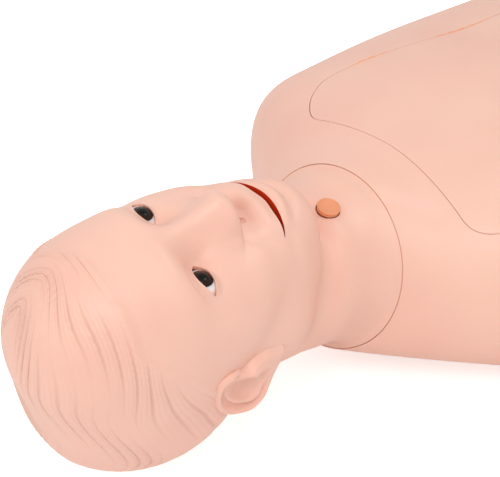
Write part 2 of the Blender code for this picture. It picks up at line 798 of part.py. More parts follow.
def skull_base():
    # floor of the skull with the neck lug and the two jaw brackets
    plate = level_plate(BASE_TOP, BASE_TOP + BASE_WALL, -10.0, np.linspace(-math.pi, math.pi, 28, False))
    base = piece("skull_base", in_head(plate), "head", SHELL)
    cut(base, in_head(box((-WIDE, 0, PALATE_REAR - GAP), (WIDE, 90, WIDE))), "palate_gap")
    cut(base, in_head(box((BRACKET_OUT, 0, -8), (WIDE, 90, 90))), "right_jaw_gap")
    cut(base, in_head(box((-WIDE, 0, -8), (-BRACKET_OUT, 90, 90))), "left_jaw_gap")
    y, z = TILT_PIVOT[1], TILT_PIVOT[2]
    half = (YOKE_HALF - YOKE_WALL) * MM - GAP
    fuse(base, in_head(prism(rounded_lug(y, z, 8.0, BASE_TOP + 1, 10.0), -half, half)), "lug")
    for side in (1, -1):
        x = sorted([side * (BRACKET_OUT - 4.0), side * BRACKET_OUT])
        arm = prism(rounded_lug(TMJ[1], TMJ[2], 7.0, BASE_TOP + BASE_WALL - 1, 8.0), x[0], x[1])
        fuse(base, in_head(arm), "bracket_right" if side > 0 else "bracket_left")
    pivot = in_head(rod((-40, y, z), (40, y, z), TILT_PIN_RADIUS * MM + GAP, 16))
    jaw = in_head(rod((-70, TMJ[1], TMJ[2]), (70, TMJ[1], TMJ[2]), JAW_PIN_RADIUS * MM + GAP, 14))
    cut(base, pivot, "tilt_bore")
    cut(base, jaw, "jaw_bore")
    return base


def rounded_lug(y, z, radius, root, half):
    # an arm from a root line to a round end about its bore
    away = 1.0 if y > root else -1.0
    t = np.linspace(-math.pi / 2, math.pi / 2, 11)
    arc = np.column_stack([y + away * radius * np.cos(t), z + radius * np.sin(t)])
    return np.vstack([[(root, z - half)], arc, [(root, z + half)]])


def eye_ball(side, extra):
    # a ball with a low bulge at its front
    t = np.radians(np.arange(15, 180, 15))
    radius = EYE_RADIUS * MM + extra
    bulge = 0.8 * np.exp(-((math.pi - t) / 0.32) ** 2)
    profile = np.column_stack([(radius + bulge) * np.sin(t), -(radius + bulge) * np.cos(t)])
    points, faces = turned(profile, 16, "pole")
    return apply(turn(math.radians(90), X_AXIS), points) + eye_centre(side), faces


def eye(name, side):
    return piece(name, in_head(eye_ball(side, 0.0)), "head", EYE)


def arch_points(half, apex, back, count):
    # tooth line: half an ellipse open toward the throat
    t = np.radians(np.linspace(-84, 84, count))
    return half * np.sin(t), back + (apex - back) * np.cos(t), t


def tooth_row(half, apex, back, gum, tip, teeth=10):
    # a horseshoe whose free edge rises and falls with the teeth
    count = teeth * 4 + 1
    x, z, t = arch_points(half, apex, back, count)
    middle = np.column_stack([x, 0 * x, z])
    out = unit(np.column_stack([np.sin(t) / half, 0 * t, np.cos(t) / (apex - back)]))
    notch = np.abs(np.sin(np.arange(count) * math.pi / 4))
    crown = mix(gum, tip, 0.80 + 0.20 * notch)
    section = [(3.4, gum), (2.6, mix(gum, tip, 0.45)), (1.3, None), (-1.3, None),
               (-2.6, mix(gum, tip, 0.45)), (-3.4, gum)]
    rings = []
    for offset, level in section:
        ring = middle + offset * out
        ring[:, 1] = crown if level is None else level
        rings.append(ring)
    return loft(np.array(rings).transpose(1, 0, 2))


def palate():
    # roof of the mouth, a plate with an arched underside
    low, high = BASE_TOP, GUM_LINE - GAP
    plate = level_plate(low, high, PALATE_REAR + 5.0, np.linspace(-math.pi, math.pi, 28, False))
    ob = piece("palate", in_head(plate), "head", MOUTH)
    cut(ob, in_head(box((-WIDE, 0, -WIDE), (WIDE, 90, PALATE_REAR))), "rear")
    cut(ob, in_head(egg((0, GUM_LINE + 4.0, 44), (20, 9.5, 26), 16, 8)), "vault")
    return ob


def tongue():
    ob = piece("tongue", in_head(egg((0, 65.0, 40), (18, 10.5, 21.5), 14, 9)), "head", MOUTH)
    path = pharynx_path(10)
    path[0] += 1.5 * unit(path[0] - path[1])
    way = sweep(path, pharynx_depths(10) + GAP, PHARYNX_WIDE + GAP, 16, X_AXIS, pharynx_ends())
    cut(ob, in_head(loft(way)), "throat")
    return ob


def pharynx_path(count):
    foot = undo(HEAD_FRAME, apply(NECK_FRAME, np.array([0.0, LARYNX_TOP - FIT_GAP, -0.004]))) / HEAD_SCALE
    return smooth_path([(0, 53.0, 34.5), (0, 61, 19), (0, 75, 6), foot], count)


def pharynx_depths(count):
    return mix(8.6, 20.5, ease((np.linspace(0, 1, count) - 0.25) / 0.65))


def pharynx_ends():
    foot = undo(HEAD_FRAME, apply(NECK_FRAME, np.array([0.0, 1.0, 0.0])))
    foot = foot - undo(HEAD_FRAME, apply(NECK_FRAME, np.zeros(3)))
    return (0, 8, -15.5), foot / HEAD_SCALE


def pharynx():
    shape = pipe(pharynx_path(10), pharynx_depths(10), PHARYNX_WIDE, TUBE_WALL * MM, 16, X_AXIS,
                 pharynx_ends())
    return piece("pharynx", in_head(shape), "head", AIRWAY)


# Jaw

def jaw_path(side, count):
    points = [(0, 74, 71.5), (13, 74, 68), (24, 73, 58.5), (31, 70, 46), (38, 62, 32), (44.8, 48, 19),
              (45.5, 28, 14), (45, TMJ[1], TMJ[2])]
    path = smooth_path(points, count)
    return path * np.array([side, 1.0, 1.0])


def mandible():
    left, right = jaw_path(-1, 14), jaw_path(1, 14)
    path = np.concatenate([left[::-1], right[1:]])
    front = bell(np.linspace(-1, 1, len(path)), 0, 0, 0, 0.45, 1.0)
    bow = sweep(path, 3.6, mix(4.6, 6.2, front), 8, (0, 1, 0.6))
    jaw = piece("mandible", in_head(loft(bow)), "jaw", SHELL)
    inner, outer = BRACKET_OUT + GAP, BRACKET_OUT + GAP + 8
    for side in (1, -1):
        boss = rod((side * inner, TMJ[1], TMJ[2]), (side * outer, TMJ[1], TMJ[2]), 6.6, 14)
        fuse(jaw, in_head(boss), "boss_right" if side > 0 else "boss_left")
        trim = rod((side * 20, TMJ[1], TMJ[2]), (side * inner, TMJ[1], TMJ[2]), 12, 14)
        cut(jaw, in_head(trim), "inside_right" if side > 0 else "inside_left")
    bore = rod((-70, TMJ[1], TMJ[2]), (70, TMJ[1], TMJ[2]), JAW_PIN_RADIUS * MM + GAP, 14)
    cut(jaw, in_head(bore), "bore")
    seat = box((-WIDE, 20, 44), (WIDE, LOWER_GUM + GAP, WIDE))
    cut(jaw, in_head(seat), "tooth_seat")
    return jaw


def jaw_pin(name, side):
    radius, head = JAW_PIN_RADIUS * MM, JAW_PIN_RADIUS * MM + 2.0
    inside, outside = BRACKET_OUT - 4.0 - GAP, BRACKET_OUT + 8 + 2 * GAP
    profile = [(head, inside - 1.6), (head, inside), (radius, inside), (radius, outside),
               (head, outside), (head, outside + 1.6)]
    points, faces = turned(profile, 12)
    points = points[:, [1, 2, 0]] * np.array([side, 1, 1]) + TMJ
    return piece(name, in_head((points, faces)), "jaw", STEEL)


def lower_teeth():
    row = tooth_row(30.0, 73.6, 41.0, LOWER_GUM, LOWER_TIP)
    return piece("lower_teeth", in_head(row), "jaw", TEETH)


def upper_teeth():
    row = tooth_row(29.0, 76.5, 41.0, GUM_LINE, UPPER_TIP)
    return piece("upper_teeth", in_head(row), "head", TEETH)


# Airway in the neck

def trachea_path(count):
    points = [(0, LARYNX_FOOT + FIT_GAP, LARYNX_Z), (0, -0.024, 0.0036), (0, -0.010, 0.0010),
              (0, 0.002, 0.0), (0, TUBE_END, 0.0)]
    return smooth_path(points, count)


def trachea():
    ends = ((0, 1, 0), (0, 1, 0))
    tube = loft(sweep(trachea_path(9), TRACHEA_RADIUS, TRACHEA_RADIUS, 16, X_AXIS, ends))
    ob = piece("trachea", moved(tube, NECK_FRAME), "neck", AIRWAY)
    top = stoma_reach() - SKIN_WALL - 0.0025
    port = rod(along_stoma(0.0), along_stoma(top), STOMA_STEM + FIT_GAP + TUBE_WALL, 16)
    fuse(ob, moved(port, NECK_FRAME), "port")
    path = trachea_path(9)
    path[0, 1] -= 0.002
    path[-1, 1] += 0.002
    lumen = loft(sweep(path, TRACHEA_RADIUS - TUBE_WALL, TRACHEA_RADIUS - TUBE_WALL, 16, X_AXIS, ends))
    cut(ob, moved(lumen, NECK_FRAME), "lumen")
    bore = rod(along_stoma(0.0), along_stoma(top + 0.01), STOMA_STEM + FIT_GAP, 16)
    cut(ob, moved(bore, NECK_FRAME), "port_bore")
    return ob


def stoma_plug():
    # a disc in the neck's hole on a stem that closes the windpipe's port
    reach = stoma_reach()
    profile = [(STOMA_STEM, -0.014), (STOMA_STEM, -0.0030), (STOMA_RADIUS, -0.0022),
               (STOMA_RADIUS, -0.0006), (STOMA_RADIUS - 0.0008, 0.0004), (STOMA_RADIUS - 0.0022, -0.0002)]
    points, faces = turned(profile, 20)
    tip = unit(np.cross(stoma_direction(), X_AXIS))
    frame = np.eye(4)
    frame[:3, :3] = np.column_stack([X_AXIS, stoma_direction(), -tip])
    frame[:3, 3] = along_stoma(reach)
    return piece("stoma_plug", moved((points, faces), NECK_FRAME @ frame), "neck", PLUG)


def larynx():
    # voice box with the vocal slit, and the leaf that stands over its mouth
    radius = TRACHEA_RADIUS
    profile = [(radius, LARYNX_FOOT), (radius, -0.042), (radius, LARYNX_TOP + 0.006),
               (radius, LARYNX_TOP)]
    body = moved(turned(profile, 20), shift(0, 0, LARYNX_Z))
    ob = piece("larynx", moved(body, NECK_FRAME), "neck", AIRWAY)
    front = LARYNX_Z + radius
    t = np.linspace(0, 1, 7)
    line = np.column_stack([mix(LARYNX_TOP + 0.002, -0.0790, t), front - 0.0030 - 0.0080 * t ** 2])
    leaf = []
    for (y, z), k in zip(line, t):
        half = 0.0045 * math.sqrt(max(1 - (k * 0.96) ** 4, 0.02))
        leaf.append([(-half, y, z - 0.0009), (half, y, z - 0.0009), (half, y, z + 0.0009),
                     (-half, y, z + 0.0009)])
    fuse(ob, moved(loft(np.array(leaf)), NECK_FRAME), "leaf")
    bore = radius - TUBE_WALL
    upper = moved(turned([(bore, LARYNX_TOP - 0.001), (bore * 0.55, LARYNX_TOP + 0.012)], 18),
                  shift(0, 0, LARYNX_Z))
    lower = moved(turned([(0.0045, LARYNX_TOP + 0.0150), (bore, LARYNX_TOP + 0.020),
                          (bore, LARYNX_FOOT + 0.002)], 20), shift(0, 0, LARYNX_Z))
    slit = turned([(1.0, LARYNX_TOP + 0.010), (1.0, LARYNX_TOP + 0.017)], 14)
    slit = slit[0] * np.array([0.0030, 1, 0.0058]), slit[1]
    slit = moved(slit, shift(0, 0, LARYNX_Z))
    cut(ob, moved(upper, NECK_FRAME), "mouth")
    cut(ob, moved(lower, NECK_FRAME), "windway")
    cut(ob, moved(slit, NECK_FRAME), "vocal_slit")
    return ob


def gullet_upper():
    path = np.array([(0, y, gullet_z(y)) for y in np.linspace(LARYNX_TOP, TUBE_END, 4)])
    ends = ((0, 1, 0), (0, 1, 0))
    shape = pipe(path, GULLET_RADIUS, GULLET_RADIUS, TUBE_WALL, 16, X_AXIS, ends)
    return piece("gullet_upper", moved(shape, NECK_FRAME), "neck", AIRWAY)


# Neck joint

def hub_screw_length():
    return 0.008 + FIT_GAP + RETAINER_WALL - SCREW_HEAD_WALL - 0.0002


def hub_screw_places():
    radius = HUB_RADIUS - HUB_WALL / 2
    angles = [math.radians(a) for a in (45, 135, 225, 315)]
    return [shift(radius * math.cos(a), HUB_END - 0.008, radius * math.sin(a)) for a in angles]


def neck_disc():
    inner = HUB_RADIUS - HUB_WALL
    rim = COLLAR_RADIUS - SKIN_WALL - 2 * FIT_GAP
    profile = [(rim, DISC_FACE), (rim, DISC_BACK), (HUB_RADIUS, DISC_BACK), (HUB_RADIUS, HUB_END),
               (inner, HUB_END), (inner, DISC_BACK)]
    ob = piece("neck_disc", moved(turned(profile, 32), NECK_FRAME), "neck", SHELL)
    way = rod((0, -0.02, 0), (0, 0.03, 0), TRACHEA_RADIUS + FIT_GAP, 20)
    middle = 0.5 * (DISC_FACE + DISC_BACK)
    gullet = rod((0, middle - 0.02, gullet_z(middle - 0.02)), (0, middle + 0.02, gullet_z(middle + 0.02)),
                 GULLET_RADIUS + 2 * FIT_GAP, 20)
    cut(ob, moved(way, NECK_FRAME), "windpipe_hole")
    cut(ob, moved(gullet, NECK_FRAME), "gullet_hole")
    holes = together(*[moved(screw_hole(hub_screw_length()), m) for m in hub_screw_places()])
    cut(ob, moved(holes, NECK_FRAME), "screw_holes")
    return ob


def friction_washer():
    low, high = DISC_BACK + FIT_GAP, DISC_BACK + FIT_GAP + WASHER_WALL
    inner = HUB_RADIUS + 2 * FIT_GAP
    profile = [(inner, low), (WASHER_RADIUS, low), (WASHER_RADIUS, high), (inner, high)]
    return piece("friction_washer", moved(turned(profile, 32, "loop"), NECK_FRAME), "neck", WASHER)


def neck_retainer():
    # a ring screwed to the hub whose lip runs behind the collar's flange
    inner, low = HUB_RADIUS - HUB_WALL, HUB_END + FIT_GAP
    lip, high = HUB_RADIUS + 4 * FIT_GAP, HUB_END + FIT_GAP + RETAINER_WALL
    profile = [(inner, low), (lip, low), (lip, FLANGE_BACK + FIT_GAP),
               (RETAINER_RADIUS, FLANGE_BACK + FIT_GAP), (RETAINER_RADIUS, high), (inner, high)]
    ob = piece("neck_retainer", moved(turned(profile, 32, "loop"), NECK_FRAME), "neck", STEEL)
    holes = together(*[moved(screw_hole(hub_screw_length()), m) for m in hub_screw_places()])
    cut(ob, moved(holes, NECK_FRAME), "screw_holes")
    return ob


def retainer_screws():
    one = screw(SCREW_RADIUS, hub_screw_length(), SCREW_HEAD)
    for number, place in enumerate(hub_screw_places()):
        piece("retainer_screw_" + str(number + 1), moved(one, NECK_FRAME @ place), "neck", STEEL)


def pivot_in_neck():
    return undo(NECK_FRAME, apply(HEAD_FRAME, TILT_PIVOT * HEAD_SCALE))


def neck_yoke():
    # two ears on a foot that stands on the disc
    x, y, z = pivot_in_neck()
    t = np.linspace(-math.pi / 2, math.pi / 2, 11)
    arc = np.column_stack([y - YOKE_EAR * np.cos(t), z - YOKE_EAR * np.sin(t)])
    foot = DISC_FACE - FIT_GAP
    outline = np.vstack([[(foot, z + 0.007)], arc, [(foot, z - 0.015)]])
    right = prism(outline, YOKE_HALF - YOKE_WALL, YOKE_HALF)
    ob = piece("neck_yoke", moved(right, NECK_FRAME), "neck", SHELL)
    fuse(ob, moved(prism(outline, -YOKE_HALF, YOKE_WALL - YOKE_HALF), NECK_FRAME), "left_ear")
    pad = box((0.001 - YOKE_HALF, foot - 0.006, z - 0.0145), (YOKE_HALF - 0.001, foot - 0.0004, z + 0.0065))
    fuse(ob, moved(pad, NECK_FRAME), "foot")
    bore = rod((-0.05, y, z), (0.05, y, z), TILT_PIN_RADIUS + FIT_GAP, 16)
    cut(ob, moved(bore, NECK_FRAME), "bore")
    return ob


def tilt_pin():
    radius, head, end = TILT_PIN_RADIUS, TILT_PIN_RADIUS + 0.0025, YOKE_HALF + FIT_GAP
    profile = [(head, -end - 0.002), (head, -end), (radius, -end), (radius, end), (head, end),
               (head, end + 0.002)]
    points, faces = turned(profile, 16)
    points = points[:, [1, 2, 0]] + pivot_in_neck()
    return piece("tilt_pin", moved((points, faces), NECK_FRAME), "neck", STEEL)


# Torso

def shell_stations():
    near = np.array([0, 0.008, 0.018, 0.032, 0.048, 0.066, 0.086, 0.108, 0.134, 0.168, 0.210])
    return np.concatenate([near, np.linspace(0.210, SHELL_END, 5)[1:]])


def collar_circle(radius, depth, v):
    circle = np.stack([radius * np.sin(v), depth + 0 * v, radius * np.cos(v)], -1)
    return apply(COLLAR_FRAME, circle)


def shell_body():
    v = np.linspace(-math.pi, math.pi, 36, endpoint=False)
    s = shell_stations()
    outer = torso_rings(s, v)
    inner = torso_rings(s[3:], v) - TORSO_WALL * torso_normals(s[3:], v)
    inner[..., 2] = np.maximum(inner[..., 2], TORSO_WALL)
    inner[-1, :, 1] = outer[-1, :, 1]
    bore, throat = COLLAR_RADIUS + 2 * FIT_GAP, HUB_RADIUS + 2 * FIT_GAP
    collar = [collar_circle(0.070, FLANGE_BACK, v), collar_circle(throat, FLANGE_BACK, v),
              collar_circle(throat, FLANGE_FACE, v), collar_circle(bore, FLANGE_FACE, v),
              collar_circle(bore, 0.0, v)]
    return loft(np.concatenate([outer, inner[::-1], np.array(collar)]), "loop")


def cover_plan(grow, columns=10):
    # rows of points over the cover's outline, from its neckline to its end
    turn_in = np.radians(np.array([0, 25, 50, 90]))
    radius = COVER_CORNER + grow
    start, end = COVER_TOP_Y - grow, COVER_END_Y + grow
    first, last = start + radius * (1 - np.cos(turn_in)), end - radius * (1 - np.cos(turn_in))
    y = np.concatenate([first, np.linspace(first[-1], last[-1], 10)[1:-1], last[::-1]])
    half = mix(COVER_CHEST_HALF, COVER_WAIST_HALF, ease((y - 0.110) / 0.190)) + grow
    half -= 0.016 * (1 - ease((y - COVER_TOP_Y) / 0.055))
    near = np.minimum(np.minimum(y - start, end - y), radius)
    half -= radius - np.sqrt(np.maximum(radius ** 2 - (radius - near) ** 2, 0.0))
    across_row = np.sin(np.linspace(-1, 1, columns + 1) * math.pi / 2 * 0.9)
    across_row /= across_row[-1]
    x = half[:, None] * across_row
    dip = COVER_DIP * (x / 0.08) ** 2 * (1 - ease((y - start) / 0.10))[:, None]
    return x, y[:, None] - np.minimum(dip, COVER_DIP * 1.4)


def cover_slab(grow, above, below):
    # the front of the torso over the outline, given a height above and a depth below it
    x, y = cover_plan(grow)
    z = chest_top(x, y)
    upper = np.stack([x, y, z + above], -1)
    lower = np.stack([x, y, z - below], -1)
    rows, columns = x.shape
    index = np.arange(rows * columns).reshape(rows, columns)
    quads = np.stack([index[:-1, :-1], index[:-1, 1:], index[1:, 1:], index[1:, :-1]], -1)
    top = quads.reshape(-1, 4)
    under = top[:, ::-1] + rows * columns
    edge = np.concatenate([index[0, :-1], index[:-1, -1], index[-1, :0:-1], index[:0:-1, 0]])
    after = np.roll(edge, -1)
    side = np.stack([after, edge, edge + rows * columns, after + rows * columns], -1)
    points = np.vstack([upper.reshape(-1, 3), lower.reshape(-1, 3)])
    return apply(TORSO_FRAME, points), np.vstack([top, under, side]).tolist()


def peg_places():
    y = np.array([0.130, 0.300, 0.400])
    half = mix(COVER_CHEST_HALF, COVER_WAIST_HALF, ease((y - 0.110) / 0.190)) - COVER_LEDGE / 2
    return [(side * x, row) for x, row in zip(half, y) for side in (1, -1)]


def peg(x, y, radius, up, down):
    z = float(chest_top(np.array([x]), np.array([y]))[0])
    return rod(apply(TORSO_FRAME, (x, y, z + up)), apply(TORSO_FRAME, (x, y, z - down)), radius, 8)


def nipple(side):
    x = side * (float(mix(COVER_CHEST_HALF, COVER_WAIST_HALF, ease((NIPPLE_Y - 0.110) / 0.190))) + 0.008)
    z = float(chest_top(np.array([x]), np.array([NIPPLE_Y]))[0])
    return egg(apply(TORSO_FRAME, (x, NIPPLE_Y, z - 0.0006)), (NIPPLE_RADIUS, NIPPLE_RADIUS, 0.0026), 10, 6)


def waist_screw_places():
    # middles of the shell's end wall, lying along the torso
    v = np.radians([-150, -100, -45, 45, 100, 150])
    s = np.array([SHELL_END])
    points = (torso_rings(s, v) - 0.5 * TORSO_WALL * torso_normals(s, v))[0]
    length = waist_screw_length()
    y = COLLAR_CENTRE[1] + TORSO_LENGTH - SCREW_HEAD_WALL - 0.0002 - length
    return [shift(p[0], y, max(p[2], 0.5 * TORSO_WALL)) for p in points]


def waist_screw_length():
    return 0.014


def torso_shell():
    ob = piece("torso_shell", shell_body(), "torso", SKIN)
    fuse(ob, together(nipple(1), nipple(-1)), "nipples")
    cut(ob, cover_slab(COVER_GAP, 0.03, COVER_WALL + COVER_GAP), "cover_recess")
    cut(ob, cover_slab(-COVER_LEDGE, 0.035, 0.03), "chest_opening")
    cut(ob, together(*[peg(x, y, PEG_RADIUS + FIT_GAP, 0.01, 0.02) for x, y in peg_places()]), "peg_holes")
    holes = together(*[moved(screw_hole(waist_screw_length()), m) for m in waist_screw_places()])
    cut(ob, holes, "screw_holes")
    return ob


def chest_cover():
    ob = piece("chest_cover", cover_slab(0.0, 0.0, COVER_WALL), "cover", SKIN)
    for number, (x, y) in enumerate(peg_places()):
        fuse(ob, peg(x, y, PEG_RADIUS, -0.5 * COVER_WALL, PEG_LENGTH + COVER_WALL), "peg_" + str(number + 1))
    return ob


def waist_plate():
    v = np.linspace(-math.pi, math.pi, 36, endpoint=False)
    ring = torso_rings(np.array([SHELL_END]), v)[0]
    near, far = ring.copy(), ring.copy()
    near[:, 1] = COLLAR_CENTRE[1] + TORSO_LENGTH - WAIST_PLATE_WALL
    far[:, 1] = COLLAR_CENTRE[1] + TORSO_LENGTH
    ob = piece("waist_plate", loft(np.array([near, far])), "torso", SHELL)
    holes = together(*[moved(screw_hole(waist_screw_length()), m) for m in waist_screw_places()])
    cut(ob, holes, "screw_holes")
    return ob


def waist_screws():
    one = screw(SCREW_RADIUS, waist_screw_length(), SCREW_HEAD)
    for number, place in enumerate(waist_screw_places()):
        piece("waist_screw_" + str(number + 1), moved(one, place), "torso", STEEL)


# What the torso holds

def torso_point(x, y, z):
    # x and y from the neck opening, z from the table
    return np.array([x, y + COLLAR_CENTRE[1], z])


def organ_tray():
    low, high = torso_point(-TRAY_HALF, TRAY_START, TRAY_HEIGHT), torso_point(TRAY_HALF, TRAY_END, TRAY_TOP)
    ob = piece("organ_tray", box(low, high), "torso", SHELL)
    number = 0
    for x in (-0.055, 0.055):
        for y in (TRAY_START + 0.128, TRAY_END - 0.050):
            leg = box(torso_point(x - 0.004, y - 0.012, TORSO_WALL + FIT_GAP),
                      torso_point(x + 0.004, y + 0.012, TRAY_HEIGHT + 0.001))
            number += 1
            fuse(ob, leg, "leg_" + str(number))
    return ob


def bag(x, start, length, width, height, apex, sides=14, rows=9):
    # a filled bag lying on the tray, narrower at its upper end
    t = np.linspace(0, 1, rows + 2)[1:-1]
    swell = np.sin(math.pi * t ** apex) ** 0.55
    v = np.linspace(0, 2 * math.pi, sides, endpoint=False)
    px = x + 0.5 * width * swell[:, None] * np.sin(v)
    pz = TRAY_TOP + 0.42 * height + 0.58 * height * swell[:, None] * np.cos(v)
    py = start + length * t[:, None] + COLLAR_CENTRE[1] + 0 * v
    rings = np.stack([px + 0 * py, py, np.maximum(pz, TRAY_TOP + FIT_GAP)], -1)
    return loft(rings, "pole")


def bronchus_path(side, count):
    foot = undo(TORSO_FRAME, apply(COLLAR_FRAME, np.array([0.0, TUBE_END + FIT_GAP, 0.0])))
    z = BRONCHUS_Z - COLLAR_HEIGHT
    return foot, smooth_path([(0, 0.070, z), (side * 0.012, 0.088, z), (side * 0.028, 0.108, z),
                              (side * 0.046, 0.134, z)], count)


def lung(name, side):
    ob = piece(name, bag(side * LUNG_X, LUNG_Y, LUNG_LENGTH, LUNG_WIDTH, LUNG_HEIGHT, 0.80), "torso", BAG)
    foot, path = bronchus_path(side, 6)
    socket = sweep(np.vstack([path, path[-1] + unit(path[-1] - path[-2]) * FIT_GAP]),
                   BRONCHUS_RADIUS + FIT_GAP, BRONCHUS_RADIUS + FIT_GAP, 10, (0, 0, 1))
    cut(ob, moved(loft(socket), TORSO_FRAME), "socket")
    return ob


def bronchi():
    # one pipe from the collar that forks to the two lungs
    foot, right = bronchus_path(1, 6)
    z = BRONCHUS_Z - COLLAR_HEIGHT
    stem = smooth_path([foot, foot + 0.012 * np.array(COLLAR_AXIS), (0, 0.060, z), (0, 0.080, z)], 7)
    ends = (COLLAR_AXIS, (0, 1, 0))
    ob = piece("bronchi", moved(loft(sweep(stem, TRACHEA_RADIUS, TRACHEA_RADIUS, 14, X_AXIS, ends)),
                                TORSO_FRAME), "torso", AIRWAY)
    paths = {"right": right, "left": right * np.array([-1.0, 1.0, 1.0])}
    for note, path in paths.items():
        arm = sweep(path, BRONCHUS_RADIUS, BRONCHUS_RADIUS, 10, (0, 0, 1))
        fuse(ob, moved(loft(arm), TORSO_FRAME), note + "_arm")
    bore = TRACHEA_RADIUS - TUBE_WALL
    longer = np.vstack([stem[0] - 0.002 * np.array(COLLAR_AXIS), stem[1:]])
    cut(ob, moved(loft(sweep(longer, bore, bore, 14, X_AXIS, ends)), TORSO_FRAME), "bore")
    for note, path in paths.items():
        longer = np.vstack([path, path[-1] + unit(path[-1] - path[-2]) * 0.002])
        arm = sweep(longer, BRONCHUS_RADIUS - TUBE_WALL, BRONCHUS_RADIUS - TUBE_WALL, 10, (0, 0, 1))
        cut(ob, moved(loft(arm), TORSO_FRAME), note + "_bore")
    return ob


def oesophagus_path(count):
    start = apply(NECK_FRAME, np.array([0.0, TUBE_END + FIT_GAP, GULLET_END_Z]))
    lift = TRAY_TOP + FIT_GAP + GULLET_RADIUS
    along = NECK_FRAME[:3, 1]
    points = [start, start + 0.014 * along, torso_point(0.0, 0.075, lift + 0.0015),
              torso_point(0.0, 0.16, lift), torso_point(0.0, 0.24, lift), torso_point(0, STOMACH_Y + 0.010, lift)]
    return smooth_path(points, count), along


def oesophagus():
    path, along = oesophagus_path(15)
    shape = pipe(path, GULLET_RADIUS, GULLET_RADIUS, TUBE_WALL, 10, X_AXIS, (along, (0, 1, 0)))
    return piece("oesophagus", shape, "torso", AIRWAY)


def stomach():
    shape = bag(-0.012, STOMACH_Y, STOMACH_LENGTH, 0.100, 0.052, 0.85)
    ob = piece("stomach", shape, "torso", BAG)
    path, along = oesophagus_path(15)
    socket = sweep(np.vstack([path[-4:], path[-1] + [0, FIT_GAP, 0]]), GULLET_RADIUS + FIT_GAP,
                   GULLET_RADIUS + FIT_GAP, 10, X_AXIS, ((0, 1, 0), (0, 1, 0)))
    cut(ob, loft(socket), "socket")
    return ob


clear_scene()
AXES = axis_empties()
SKIN = material("soft_skin_vinyl", (0.86, 0.60, 0.50), 0.45)
SHELL = material("moulded_plastic", (0.78, 0.74, 0.68), 0.5)
EYE = material("eye_enamel", (0.04, 0.03, 0.03), 0.1)
MOUTH = material("mouth_red_rubber", (0.62, 0.06, 0.03), 0.4)
TEETH = material("tooth_ivory", (0.85, 0.80, 0.68), 0.35)
AIRWAY = material("airway_rubber", (0.75, 0.30, 0.22), 0.5)
PLUG = material("plug_orange_rubber", (0.83, 0.36, 0.18), 0.5)
BAG = material("bag_rubber", (0.80, 0.70, 0.55), 0.6)
STEEL = material("zinc_plated_steel", (0.6, 0.6, 0.62), 0.3, 1.0)
WASHER = material("washer_plastic", (0.9, 0.9, 0.88), 0.4)

head_skin()
skull_rear()
skull_face()
skull_base()
eye_cup("eye_cup_right", 1)
eye_cup("eye_cup_left", -1)
eye("eye_right", 1)
eye("eye_left", -1)
palate()
upper_teeth()
tongue()
pharynx()
mandible()
lower_teeth()
jaw_pin("jaw_pin_right", 1)
jaw_pin("jaw_pin_left", -1)
larynx()
trachea()
stoma_plug()
gullet_upper()
neck_disc()
friction_washer()
neck_retainer()
retainer_screws()
neck_yoke()
tilt_pin()
torso_shell()
chest_cover()
waist_plate()
waist_screws()
organ_tray()
lung("lung_right", 1)
lung("lung_left", -1)
bronchi()
oesophagus()
stomach()
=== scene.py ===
import json
import math

import bmesh
import bpy
import numpy as np
from mathutils import Matrix, Vector


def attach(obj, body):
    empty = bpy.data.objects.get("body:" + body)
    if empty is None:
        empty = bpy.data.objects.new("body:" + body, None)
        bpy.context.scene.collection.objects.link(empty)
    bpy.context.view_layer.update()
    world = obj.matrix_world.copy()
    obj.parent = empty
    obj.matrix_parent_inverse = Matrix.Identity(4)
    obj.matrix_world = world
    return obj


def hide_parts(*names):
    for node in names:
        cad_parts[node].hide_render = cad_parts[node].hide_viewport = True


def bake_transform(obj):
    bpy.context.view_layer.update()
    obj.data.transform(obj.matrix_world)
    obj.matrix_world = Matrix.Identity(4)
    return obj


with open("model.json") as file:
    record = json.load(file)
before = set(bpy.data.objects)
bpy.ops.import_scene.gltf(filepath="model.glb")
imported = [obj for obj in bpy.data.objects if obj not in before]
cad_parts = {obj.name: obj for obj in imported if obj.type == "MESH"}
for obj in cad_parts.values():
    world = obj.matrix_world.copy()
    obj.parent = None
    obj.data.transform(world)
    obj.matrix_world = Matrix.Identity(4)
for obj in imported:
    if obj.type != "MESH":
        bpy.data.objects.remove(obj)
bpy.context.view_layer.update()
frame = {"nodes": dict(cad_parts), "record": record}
nodes = frame["nodes"]
print("frame loaded:", len(nodes), "nodes")

scene = bpy.context.scene
scene.view_settings.view_transform = "Standard"


def mix(a, b, t):
    return a + (b - a) * t


def ease(t):
    t = np.clip(t, 0.0, 1.0)
    return t * t * (3.0 - 2.0 * t)


def bell(x, y, cx, cy, sx, sy):
    return np.exp(-0.5 * ((x - cx) / sx) ** 2 - 0.5 * ((y - cy) / sy) ** 2)


def unit(v):
    return v / (np.linalg.norm(v, axis=-1, keepdims=True) + 1e-12)


def turnAbout(angle, axis):
    m = np.eye(4)
    m[:3, :3] = np.array(Matrix.Rotation(angle, 3, Vector(axis)))
    return m


def shiftBy(x, y, z):
    m = np.eye(4)
    m[:3, 3] = (x, y, z)
    return m


def edgeOf(isInside, low, high, steps):
    # halves the span between an inside and an outside place, element by element
    for _ in range(steps):
        middle = 0.5 * (low + high)
        inside = isInside(middle)
        low, high = np.where(inside, middle, low), np.where(inside, high, middle)
    return low


def toWorld(m, p):
    return np.asarray(p, float) @ m[:3, :3].T + m[:3, 3]


def toLocal(m, p):
    return (np.asarray(p, float) - m[:3, 3]) @ m[:3, :3]


